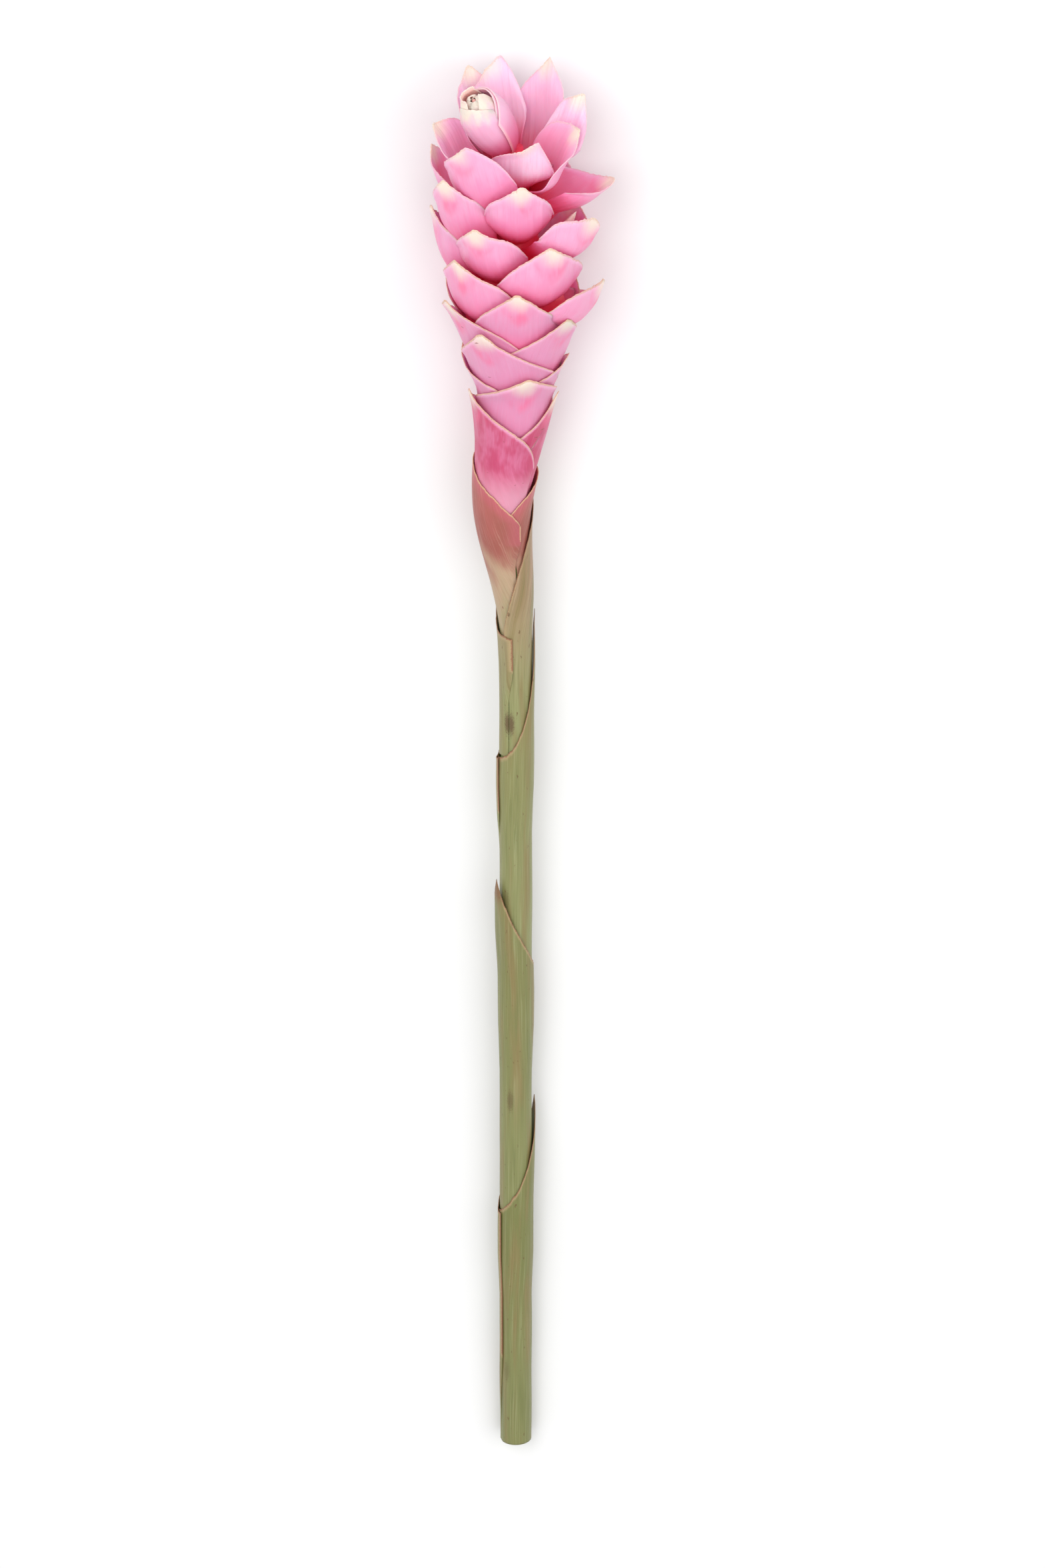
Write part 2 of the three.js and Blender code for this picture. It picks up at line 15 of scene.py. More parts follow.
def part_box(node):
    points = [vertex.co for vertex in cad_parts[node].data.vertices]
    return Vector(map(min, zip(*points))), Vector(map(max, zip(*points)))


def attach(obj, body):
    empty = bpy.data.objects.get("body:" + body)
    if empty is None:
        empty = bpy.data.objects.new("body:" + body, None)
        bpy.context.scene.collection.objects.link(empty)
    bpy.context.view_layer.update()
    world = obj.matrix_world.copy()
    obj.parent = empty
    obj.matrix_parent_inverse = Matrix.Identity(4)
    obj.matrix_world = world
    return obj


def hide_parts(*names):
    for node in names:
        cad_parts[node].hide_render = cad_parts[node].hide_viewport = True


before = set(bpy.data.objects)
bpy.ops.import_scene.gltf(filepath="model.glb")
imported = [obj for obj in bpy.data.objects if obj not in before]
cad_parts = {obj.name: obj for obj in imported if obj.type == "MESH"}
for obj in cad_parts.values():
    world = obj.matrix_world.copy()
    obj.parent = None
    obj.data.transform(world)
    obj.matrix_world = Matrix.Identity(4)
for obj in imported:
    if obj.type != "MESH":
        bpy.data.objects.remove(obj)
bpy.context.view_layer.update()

MM = 0.001

# Stem
LENGTH = 824
CANE_RADIUS = 8.0
SHEATH_THICKNESS = 0.7
SPATHE_THICKNESS = 1.0
GAP = 0.3  # between a margin and what it laps over
SLIT = 0.04  # half angle left open below the lap
OVERLAP = 0.28  # half angle of the lap
AXIS_HEIGHT = 8.8  # of the cut end's middle
AXIS_RISE = 0.0396
SWAY_AT, SWAY_SPREAD, SWAY_REACH = 574, 42, 7
CURL_FROM, CURL_LEFT, CURL_UP = 705, 0.07, 0.2

# Flower head
GOLDEN_ANGLE = math.radians(137.5)
FIRST_BRACT = -11
LAST_BRACT = 25
CLOSED_BRACT = 24  # it is one of the tip bud's
PRESSED_HEIGHT = 0.6  # of the bracts' middle surface where they meet the table
PRESS_SOFTNESS = 1.4
REACH_DRAW = (1.2, 0.3)  # of an open bract and of a wrapped one
LEAN_DRAW = 4
SLANT_DRAW = 0.04
APEX_DRAW = 0.08
ROOT_HANDLE = 0.5
TIP_HANDLE = 0.52
ROOT_WIDTH = 0.55
GROWN_AT = 0.55
WIDEST_TURN = 2.2
CUP_TILT = 0.8
APEX_BLUNT = 0.04
SHOULDER_POWER = 8
LAYERS_DEEP, LAYERS_OVER = 9.0, 45  # how deep a wrapped bract lies, and how far below its tip
LOWEST_TIP = 642
LAYERED_WRAP = (0.45, 0.75)  # shares of wrapping between which a bract starts to lie in layers
LAYERED_LOW = 0.6  # how much more a bract's foot does

BRACT_GRID = (72, 36)  # faces across and along a bract
BRACT_HALF = 0.52  # half thickness at the middle of a bract
ROOT_MARGIN = 14  # added to the distance from the margin at a bract's root

# Relief of a bract in millimetres: ragged top edge, waves, furrows, and flare of the top, of which
# an open bract has more
COARSE_FRAY, FINE_FRAY = 0.16, 0.22
WAVE_HEIGHT = 0.8
FURROW_DEPTH = 0.1
FLARE, OPEN_FLARE = 0.5, 0.9
WRAP_FLATTENS = 0.75  # share of the waves and the open flare that wrapping takes away

STAGE_KEYS = ("n", "tip_s", "tip_r", "root_below", "root_r", "root_lean", "tip_lean", "half",
              "cup", "wrap", "apex_drop", "shoulder_drop")
STAGES = np.array([
    (-11, 642, 23.6, 82, 11.5, 8, 10, 40, 20, 1, 0.46, 0.2),
    (-8, 660, 28.8, 74, 12.0, 14, 17, 42, 24, 1, 0.42, 0.2),
    (-5, 679, 34.4, 62, 12.5, 24, 19, 44, 28, 1, 0.42, 0.2),
    (-3, 691, 38.4, 54, 12.0, 34, 22, 38, 30, 0.8, 0.37, 0.22),
    (0, 709, 42.5, 48, 11.0, 54, 20, 30, 28, 0.5, 0.3, 0.22),
    (3, 722, 43.5, 43, 10.5, 68, 8, 26.5, 25, 0.2, 0.25, 0.22),
    (6, 736, 43.5, 40, 10.0, 72, 0, 24.5, 22, 0, 0.24, 0.22),
    (10, 754, 43.0, 40, 9.5, 70, 0, 23, 21, 0, 0.24, 0.22),
    (14, 773, 41.0, 41, 9.0, 66, 2, 21, 20, 0, 0.25, 0.22),
    (18, 793, 37.5, 44, 8.0, 58, 6, 19, 19, 0, 0.23, 0.22),
    (22, 808, 33.5, 52, 7.0, 46, 10, 17, 18, 0, 0.21, 0.24),
    (26, 813, 27.0, 52, 6.5, 36, 8, 15, 16, 0, 0.2, 0.26),
], float)

# How a bract stands: turn, twist and lean outward in degrees, rise, reach and layer in
# millimetres, width and cup as factors, apex as a place along its half width, slant and drop as
# shares of its length
PLAIN_HABIT = dict(turn=0, rise=0, reach=0, lean=0, twist=0, width=1, cup=1, apex=0, slant=0,
                   drop=0, layer=0)
ODD_BRACTS = {
    -11: dict(rise=3, layer=7),
    -10: dict(turn=-8, rise=-4, width=1.35, drop=-0.12, layer=-7),
    -8: dict(turn=-11, rise=-2, drop=-0.2),
    -7: dict(width=1.2, drop=-0.16),
    -6: dict(turn=-22, rise=-8, drop=-0.18),
    -5: dict(turn=4, rise=6, reach=2, width=1.04),
    -3: dict(turn=-3, rise=1),
    -2: dict(turn=23, rise=2, drop=-0.1),
    0: dict(turn=3, rise=2, width=0.9),
    2: dict(turn=-6, rise=-10, reach=3, width=1.3, slant=-0.2),
    3: dict(turn=7, rise=4, reach=-2, width=1.12),
    5: dict(turn=-5, rise=6, width=1.14, cup=1.15, apex=-0.05, slant=-0.06),
    6: dict(turn=10, rise=10, reach=-2, twist=12, width=1.1),
    7: dict(turn=20, rise=-3),
    8: dict(turn=-10, rise=3, reach=-2, lean=6, width=1.1, apex=0.1, slant=0.04),
    10: dict(turn=-6, rise=-6, reach=6, lean=6, width=1.3, slant=-0.26),
    11: dict(turn=12, rise=12, reach=-1, lean=6, twist=20, width=1.05),
    13: dict(turn=-7, rise=5, reach=-3, lean=4, width=1.06, apex=0.1),
    14: dict(turn=16, rise=2, reach=2, twist=8, width=1.1),
    15: dict(rise=-20, reach=12, lean=36, width=1.35),
    16: dict(turn=-3, rise=12, reach=4, lean=7, twist=4, width=1.38, cup=1.28, apex=0.34,
             slant=0.09),
    17: dict(rise=-28),
    18: dict(turn=20, rise=1, reach=1, lean=31, twist=36, width=1.2, cup=1.17, slant=0.05,
             drop=-0.04),
    19: dict(turn=9, reach=2, lean=14, twist=-20, width=1.1, cup=1.08, slant=-0.07),
    20: dict(turn=13, rise=14, reach=-4, apex=-0.2),
    21: dict(turn=17, rise=-8, reach=-5, lean=14, twist=-24, width=1.08, cup=1.88, apex=0.49,
             slant=-0.02, drop=0.14),
    22: dict(turn=2, rise=4, reach=1, apex=-0.1),
    23: dict(turn=21, rise=-4, reach=5, lean=10, twist=46, width=0.72, cup=1.54, apex=-0.18,
             slant=0.09),
    25: dict(turn=41, rise=2, reach=2, width=1.15, apex=-0.45),
}

# Outlines turned round the stem's axis: (s, r)
CORE_PROFILE = [(562, 12.0), (572, 13.2), (600, 15.4), (625, 18.0), (642, 19.8), (660, 23),
                (680, 27), (692, 27), (704, 22), (716, 16), (730, 12), (742, 9.5), (752, 8.5),
                (762, 8), (778.4, 6)]
CORE_SIDES, CORE_RINGS = 48, 60
CORE_LEAST = 8  # radius that the layers of wrapped bracts leave it anywhere
CORE_SUNK = 0.3  # the least that it lies inside the solid's outline
ENVELOPE = [(562, 12.0), (576, 14.1), (594, 16.1), (613, 18.5), (630, 21.4), (644, 24.0),
            (657, 27.8), (670, 31.6), (682, 34.8), (695, 39.0), (709, 43.0)]
SPATHE_PROFILE = [(478, 8.0), (505, 8.2), (517, 9.2), (539, 11.6), (557, 13.6), (576, 15.8),
                  (594, 17.8), (613, 20.2), (630, 23.2)]
CANE_PROFILE = [(1.2, CANE_RADIUS), (440, CANE_RADIUS), (474, 7.9), (477, 6.8), (505, 6.8),
                (517, 7.8), (539, 10.1), (557, 11.8), (561.7, 12.0)]
CANE_SIDES, CANE_RINGS = 72, 60
# Rings of the cut face, from its rim inwards: share of the radius, and how far in it lies
CUT_RINGS = ((0.96, 0.5), (0.9, 0.15), (0.78, 0.1), (0.64, 0.12), (0.5, 0.0), (0.36, 0.1),
             (0.22, 0.05), (0.1, 0.12))
CUT_ROUGHNESS = 0.12

# Leaf bases and spathe: the side of the point in degrees, s of the foot and of the notch opposite
# the point, height of the point over the notch, how steeply each margin falls from it, s between
# which the margins start to lap, how far the point stands out, and (s, r) of one of the faces
SPATHE = dict(apex=202, base=480, notch=568.5, rise=43, bend=(0.58, 0.74), rolled=(542, 560),
              flare=0, thickness=SPATHE_THICKNESS, outer=SPATHE_PROFILE)
LEAF_SHEATHS = [
    dict(apex=155, base=432, notch=503, rise=96, bend=(0.85, 3.2), rolled=(462, 485), flare=0,
         inner=[(432, 8.3), (485, 8.3), (501, 8.7), (515, 9.8), (539, 12.3), (557, 14.3),
                (576, 16.5), (594, 18.5), (613, 20.9)]),
    dict(apex=100, base=292, notch=430, rise=85, bend=(3, 3), rolled=(372, 400), flare=0.8,
         inner=[(292, 8.3), (385, 8.3), (413, 9.3), (490, 9.4), (505, 9.6), (520, 10.8)]),
    dict(apex=-60, base=150, notch=300, rise=58, bend=(1.9, 1.9), rolled=(232, 260), flare=2.5,
         inner=[(150, 8.3), (238, 8.3), (266, 9.3), (370, 9.4)]),
    dict(apex=110, base=0, notch=150, rise=70, bend=(2, 2), rolled=(20, 60), flare=1.2,
         inner=[(0, 8.3), (96, 8.3), (122, 9.3), (230, 9.4)]),
]
SHEATH_GRID, SPATHE_GRID = (120, 120), (120, 110)
SHEATH_SEED, SPATHE_SEED = 40, 31
SHEATH_RIBS, SPATHE_RIBS = 0.05, 0.06
COARSE_TEAR, FINE_TEAR = 0.5, 0.3  # ragged top edge
UNEVENNESS = 0.12
LAPPED_FROM = (0.8, 0.95)
FLARED_FROM = 0.75
COVERED_MARGIN = 60  # added to the distance from the margin below the lap

FLOWER_BUD_ENDS = ((70, 14, 715), (75, 33.5, 745))  # side in degrees, r, s
FLOWER_BUD_RADIUS = 3.2
FLOWER_BUD_OUTLINE = [(0, 0), (0.1, 0.5), (0.3, 0.92), (0.5, 1), (0.75, 0.75), (0.92, 0.35),
                      (1, 0.02)]
FLOWER_BUD_SIDES, FLOWER_BUD_RINGS = 48, 48
LOBE_DEPTH = 0.07

BUD_BASE, BUD_ASIDE, BUD_LENGTH, BUD_RADIUS = 778.2, -4.4, 37.6, 10.8
BUD_LEAN = (-0.54, 0.43)
BUD_FULLEST, BUD_FULLNESS = 0.51, 0.6
# Bracts of the bud: the side each is on in degrees, its half turn, foot and top as shares of the
# length, drop of its shoulders and slant of its top, distance off the bud at its foot and how
# much more above, how its top tucks in and crumples, how its sides roll out, and how it pales.
# The last lies inside the one before it.
BUD_SCALES = [
    dict(angle=-35, turn=1.4, foot=-0.02, top=0.94, shoulder=0.13, slant=-0.04, off=0.7, out=1.0,
         tuck=1.7, crumple=0.05, rolled=0, pale=1.0),
    dict(angle=35, turn=1.2, foot=0.2, top=0.98, shoulder=0.26, slant=0.16, off=-0.4, out=-0.2,
         tuck=1.0, crumple=0.1, rolled=0, pale=1.0),
    dict(angle=-124, turn=1.5, foot=0.04, top=1.05, shoulder=0, slant=0, off=-0.5, out=0,
         tuck=0.3, crumple=0.1, rolled=0, pale=1.0),
    dict(angle=135, turn=1.9, foot=-0.15, top=0.91, shoulder=0.3, slant=0.02, off=2.0, out=0.7,
         tuck=0.8, crumple=0.05, rolled=0.9, pale=0.6),
    dict(angle=128, turn=1.7, foot=0.05, top=0.93, shoulder=0.27, slant=0.02, off=1.0, out=0.35,
         tuck=0.5, crumple=0.05, rolled=0.2, pale=0.5),
]

BUD_SCALE_GRID = (60, 60)
BUD_SCALE_HALF = 0.5
BUD_SHOULDER_POWER = 2.2
BUD_FRAY = 0.005
CREASE_DEPTH = 0.12
BUD_CORE_SIZE, BUD_CORE_TOP = 0.84, 0.95
BUD_CORE_SIDES, BUD_CORE_RINGS = 48, 40
# Ends of the closed bracts: each one's length, half width, curl in half turns, distance from the
# bud's axis and how far it closes over that, and the share of the bud's length where they start
TUFT_FOLDS = 5
TUFT_GRID = (20, 24)
TUFT_HALF = 0.3
TUFT_LENGTH, TUFT_WIDTH, TUFT_CURL, TUFT_REACH, TUFT_CLOSING = 9.0, 5.4, 0.68, 5.6, 4.6
TUFT_FOOT = 0.73

FLOOR_HEIGHT = 0.06  # nothing reaches lower than this
FLOOR_SOFTNESS = 0.1

stem_low, stem_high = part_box("stem")
tilt_at_cut = CANE_RADIUS * AXIS_RISE / math.hypot(1, AXIS_RISE)
SHIFT = np.array([stem_high.x / MM - CANE_RADIUS, stem_low.y / MM + tilt_at_cut, 0.0])


# Small mathematics on arrays

def lerp(a, b, share):
    return a + (b - a) * share


def smoothstep(x, low, high):
    x = np.clip((x - low) / (high - low), 0, 1)
    return x * x * (3 - 2 * x)


def unit(vectors):
    return vectors / np.maximum(np.linalg.norm(vectors, axis=-1, keepdims=True), 1e-9)


def draw(n, salt):
    """Repeatable draw between -1 and 1."""
    wave = math.sin(n * 12.9898 + salt * 78.233) * 43758.5453
    return 2 * (wave - math.floor(wave)) - 1


def ripple(x, n, salt, waves=5, growth=1.7, fade=0.75):
    """Smooth repeatable noise of about -1 to 1 along x."""
    total = np.zeros_like(x)
    size = 0.0
    for k in range(waves):
        strength = fade ** k
        frequency = growth ** k * (1 + 0.2 * draw(n, salt + 11 * k))
        total = total + strength * np.sin(frequency * x + math.pi * draw(n, salt + 7 * k + 3))
        size += strength
    return total / size * 1.6


def along(profile, s):
    """Height of a profile, which is a list of (s, r), at s."""
    points = np.array(profile, float)
    return np.interp(s, points[:, 0], points[:, 1])


# The stem's axis

def axis_point(s):
    """The axis at s: it rises evenly, sways at the head's foot and curls left and up past it."""
    sway = SWAY_REACH * np.exp(-(((s - SWAY_AT) / SWAY_SPREAD) ** 2))
    beyond = np.maximum(0, s - CURL_FROM)
    curl = beyond * beyond / (LENGTH - CURL_FROM) / 2
    return np.stack([-sway - CURL_LEFT * curl, s,
                     AXIS_HEIGHT + AXIS_RISE * s + CURL_UP * curl], axis=-1)


def directions(lengthways):
    """Sideways, which is level, and upwards of what points lengthways."""
    sideways = unit(np.cross(lengthways, (0, 0, 1)))
    return sideways, np.cross(sideways, lengthways)


def place(up, right, s):
    """Points beside the axis at s, "up" over it and "right" of it."""
    s = np.asarray(s, float)
    sideways, upwards = directions(unit(axis_point(s + 0.5) - axis_point(s - 0.5)))
    return (axis_point(s) + upwards * np.asarray(up)[..., None]
            + sideways * np.asarray(right)[..., None])


def place_round(r, angle, s):
    """Points r from the axis at s."""
    return place(r * np.cos(angle), r * np.sin(angle), s)


def round_line(start, lengthways, far, r, angle):
    """Points "far" along a straight line and r from it; the angle turns as round the stem."""
    sideways, upwards = directions(lengthways)
    return (start + lengthways * far[..., None] + upwards * (r * np.cos(angle))[..., None]
            + sideways * (r * np.sin(angle))[..., None])


def soft_floor(points, height, softness):
    """Lifts what lies lower than the height, with no crease."""
    above = (points[..., 2] - height) / softness
    points[..., 2] = height + softness * np.logaddexp(0, above)
    return points


# Blades, each a closed mesh round a curved middle surface, and tubes

class Shell:
    """Vertices, faces and named values of a piece's blades and tubes."""

    def __init__(self):
        self.points = []
        self.faces = []
        self.values = {}
        self.count = 0

    def add(self, points, faces, values):
        self.points.append(points)
        self.faces.extend([tuple(i + self.count for i in face) for face in faces])
        for name, value in values.items():
            self.values.setdefault(name, []).append(value)
        self.count += len(points)


def blade_grid(columns, rows):
    """u from -1 to 1 across a blade and t from 0 to 1 along it, as grids [row, column]."""
    return np.meshgrid(np.linspace(-1, 1, columns + 1), np.linspace(0, 1, rows + 1))


def tube_grid(levels, sides):
    """Level of each ring of a tube and angle of each side, as grids [ring, side]."""
    angle = np.linspace(0, 2 * math.pi, sides, endpoint=False)
    return np.meshgrid(levels, angle, indexing="ij")


def grid_normals(points):
    across = np.gradient(points, axis=1)
    lengthways = np.gradient(points, axis=0)
    return unit(np.cross(across, lengthways))


def grid_faces(rows, across, loop):
    """Quads between rows of "across" points; a loop closes each row on itself."""
    faces = []
    last = across if loop else across - 1
    for row in range(rows - 1):
        for column in range(last):
            a = row * across + column
            b = row * across + (column + 1) % across
            faces.append((a, b, b + across, a + across))
    return faces


def add_blade(shell, middle, half, values, rim=0.25):
    """middle: grid of points [row, column]; half: half thickness there; values: named grids.

    rim: how far the margin's ridge stands out from the grid.
    """
    rows, columns = middle.shape[:2]
    normal = grid_normals(middle)
    outer = middle + normal * half[..., None]
    inner = middle - normal * half[..., None]
    right = middle[:, -1] + unit(middle[:, -1] - middle[:, -2]) * rim
    left = middle[:, 0] + unit(middle[:, 0] - middle[:, 1]) * rim
    ring = np.concatenate([outer, right[:, None], inner[:, ::-1], left[:, None]], axis=1)
    tip = middle[-1] + unit(middle[-1] - middle[-2]) * rim
    loop = 2 * columns + 2
    points = np.concatenate([ring.reshape(-1, 3), tip])
    faces = grid_faces(rows, loop, True)
    last = (rows - 1) * loop
    zip_row = rows * loop
    for i in range(columns - 1):
        faces.append((last + i, last + i + 1, zip_row + i + 1, zip_row + i))
        j = last + 2 * columns - i
        faces.append((zip_row + i, zip_row + i + 1, j - 1, j))
    faces.append((last + columns - 1, last + columns, zip_row + columns - 1))
    faces.append((zip_row + columns - 1, last + columns, last + columns + 1))
    faces.append((last + loop - 1, last, zip_row))
    faces.append((last + loop - 1, zip_row, last + 2 * columns))
    for i in range(columns - 1):
        faces.append((i + 1, i, 2 * columns - i, 2 * columns - i - 1))
    faces.append((columns, columns - 1, columns + 1))
    faces.append((0, loop - 1, 2 * columns))
    full = {}
    for name, grid in values.items():
        grid = np.broadcast_to(np.asarray(grid, float), (rows, columns))
        around = np.concatenate([grid, grid[:, -1:], grid[:, ::-1], grid[:, :1]], axis=1)
        full[name] = np.concatenate([around.ravel(), grid[-1]])
    inside = np.zeros((rows, loop))
    inside[:, columns + 1:2 * columns + 1] = 1
    inside[:, columns] = 0.5
    inside[:, -1] = 0.5
    full["inside"] = np.concatenate([inside.ravel(), np.full(columns, 0.5)])
    shell.add(points, faces, full)


def add_tube(shell, middle, values):
    """A closed body from a grid of points [ring, side], with a flat end at each end."""
    rings, sides = middle.shape[:2]
    faces = grid_faces(rings, sides, True)
    faces.append(tuple(range(sides - 1, -1, -1)))
    faces.append(tuple((rings - 1) * sides + i for i in range(sides)))
    full = {name: np.broadcast_to(np.asarray(value, float), (rings, sides)).ravel()
            for name, value in values.items()}
    full["inside"] = np.zeros(rings * sides)
    shell.add(middle.reshape(-1, 3), faces, full)


def make_piece(name, shell, material, nodes):
    """Makes a piece of the shell, in the CAD's place and lifted clear of the table."""
    points = soft_floor(np.concatenate(shell.points), FLOOR_HEIGHT, FLOOR_SOFTNESS)
    mesh = bpy.data.meshes.new(name)
    mesh.from_pydata(((points + SHIFT) * MM).tolist(), [], shell.faces)
    for key, parts in shell.values.items():
        attribute = mesh.attributes.new(key, "FLOAT", "POINT")
        attribute.data.foreach_set("value", np.concatenate(parts).astype(np.float32))
    mesh.polygons.foreach_set("use_smooth", [True] * len(mesh.polygons))
    mesh.materials.append(material)
    mesh.validate()
    mesh.update()
    piece = bpy.data.objects.new(name, mesh)
    bpy.context.scene.collection.objects.link(piece)
    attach(piece, "root")
    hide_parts(*nodes)


# Shader building

class Shader:
    """A material's node tree, built from short calls that give back sockets."""

    def __init__(self, name):
        self.material = bpy.data.materials.new(name)
        self.material.use_nodes = True
        self.tree = self.material.node_tree
        self.surface = self.tree.nodes["Principled BSDF"]

    def put(self, socket, value):
        if isinstance(value, bpy.types.NodeSocket):
            self.tree.links.new(value, socket)
        elif isinstance(value, tuple) and len(value) == 3 and socket.type == "RGBA":
            socket.default_value = (*value, 1)
        else:
            socket.default_value = value

    def value(self, name):
        node = self.tree.nodes.new("ShaderNodeAttribute")
        node.attribute_name = name
        return node.outputs["Fac"]

    def math(self, operation, a, b=0.0):
        node = self.tree.nodes.new("ShaderNodeMath")
        node.operation = operation
        self.put(node.inputs[0], a)
        self.put(node.inputs[1], b)
        return node.outputs[0]

    def vector(self, x, y, z):
        node = self.tree.nodes.new("ShaderNodeCombineXYZ")
        for socket, value in zip(node.inputs, (x, y, z)):
            self.put(socket, value)
        return node.outputs[0]

    def noise(self, vector, scale, detail):
        node = self.tree.nodes.new("ShaderNodeTexNoise")
        self.put(node.inputs["Vector"], vector)
        self.put(node.inputs["Scale"], scale)
        self.put(node.inputs["Detail"], detail)
        return node.outputs["Fac"]

    def times(self, a, b):
        return self.math("MULTIPLY", a, b)

    def stretched(self, across, x, lengthways, y, seed, detail):
        """Noise with x features to a millimetre across a blade and y along it."""
        place_in_noise = self.vector(self.times(across, x), self.times(lengthways, y), seed)
        return self.noise(place_in_noise, 1.0, detail)

    def uneven(self, noise, size):
        """The noise moved to lie about zero, and scaled."""
        return self.times(self.math("SUBTRACT", noise, 0.5), size)

    def step(self, value, low, high, start=0.0, end=1.0):
        """From start where the value is low to end where it is high, smoothly."""
        node = self.tree.nodes.new("ShaderNodeMapRange")
        node.interpolation_type = "SMOOTHSTEP"
        for socket, number in zip(node.inputs, (value, low, high, start, end)):
            self.put(socket, number)
        return node.outputs[0]

    def mix(self, share, a, b):
        node = self.tree.nodes.new("ShaderNodeMix")
        node.data_type = "RGBA"
        self.put(node.inputs[0], share)
        self.put(node.inputs[6], a)
        self.put(node.inputs[7], b)
        return node.outputs[2]

    def bump(self, height, distance, strength):
        node = self.tree.nodes.new("ShaderNodeBump")
        self.put(node.inputs["Height"], height)
        self.put(node.inputs["Distance"], distance)
        self.put(node.inputs["Strength"], strength)
        self.put(self.surface.inputs["Normal"], node.outputs[0])

    def set(self, **values):
        for name, value in values.items():
            self.put(self.surface.inputs[name.replace("_", " ")], value)


def linear(red, green, blue):
    """A colour as the eye sees it, 0 to 255, as the shader's linear numbers."""
    return tuple((c / 255) ** 2.2 for c in (red, green, blue))


LILAC_PINK = linear(252, 214, 236)
PALE_PINK = linear(250, 190, 219)
MID_PINK = linear(244, 146, 188)
MAUVE_PINK = linear(229, 138, 176)
ROSE = linear(246, 100, 144)
DEEP_ROSE = linear(236, 38, 72)
CREAM = linear(244, 228, 206)
TAN = linear(206, 166, 130)
BROWN = linear(120, 78, 50)
LIGHT_GREEN = linear(144, 150, 102)
MID_GREEN = linear(106, 112, 64)
OLIVE = linear(136, 118, 76)
BEIGE = linear(182, 154, 126)
FLUSHED = linear(196, 70, 108)
FADED = linear(234, 158, 180)
SCRATCHED = linear(150, 70, 66)
SPATHE_RUST = linear(156, 88, 78)
SPATHE_ROSE = linear(182, 98, 96)
SPATHE_MARGIN = linear(196, 92, 112)
SPATHE_DARK_VEIN = linear(150, 92, 70)
SPATHE_PALE_VEIN = linear(214, 168, 150)
SPATHE_SCRATCH = linear(120, 58, 56)
PALE_STRIPE = linear(168, 170, 126)
DARK_STRIPE = linear(98, 106, 60)
PAPERY = linear(176, 150, 112)
DRY_MARGIN = linear(140, 88, 64)
DEAD_TIP = linear(126, 92, 60)
SPOTTED = linear(104, 76, 48)
SCARRED = linear(92, 66, 44)
BUD_FOOT = linear(218, 60, 98)
BUD_LOW = linear(238, 132, 170)
BUD_MIDDLE = linear(247, 184, 212)
BUD_VEIN = linear(244, 150, 186)
BUD_CREAM = linear(242, 220, 206)
BUD_HOLLOW_TINT_AND_SHADE = linear(232, 168, 160)
BUD_INSIDE = linear(240, 130, 150)
BUD_FLECK = linear(206, 164, 142)
BUD_MARGIN = linear(248, 224, 208)
CUT_RIM = linear(132, 152, 84)
CUT_MIDDLE = linear(206, 210, 156)
DARK_FIBRE = linear(168, 150, 98)
PALE_FIBRE = linear(232, 230, 190)

# For each leaf base: colour at its top and at its foot, how far its point is dried, and its scar:
# how far round from the point, how far along the stem, and how strong
SHEATH_LOOKS = [
    (linear(168, 132, 108), linear(140, 142, 94), 6.0, (26.0, 452.0, 0.8)),
    (linear(132, 130, 82), linear(136, 138, 90), 16.0, (20.5, 346.0, 0.4)),
    (linear(124, 124, 76), linear(130, 132, 84), 14.0, (6.0, 222.0, 0.5)),
    (linear(118, 120, 70), linear(126, 128, 80), 12.0, (22.0, 48.0, 0.3)),
]


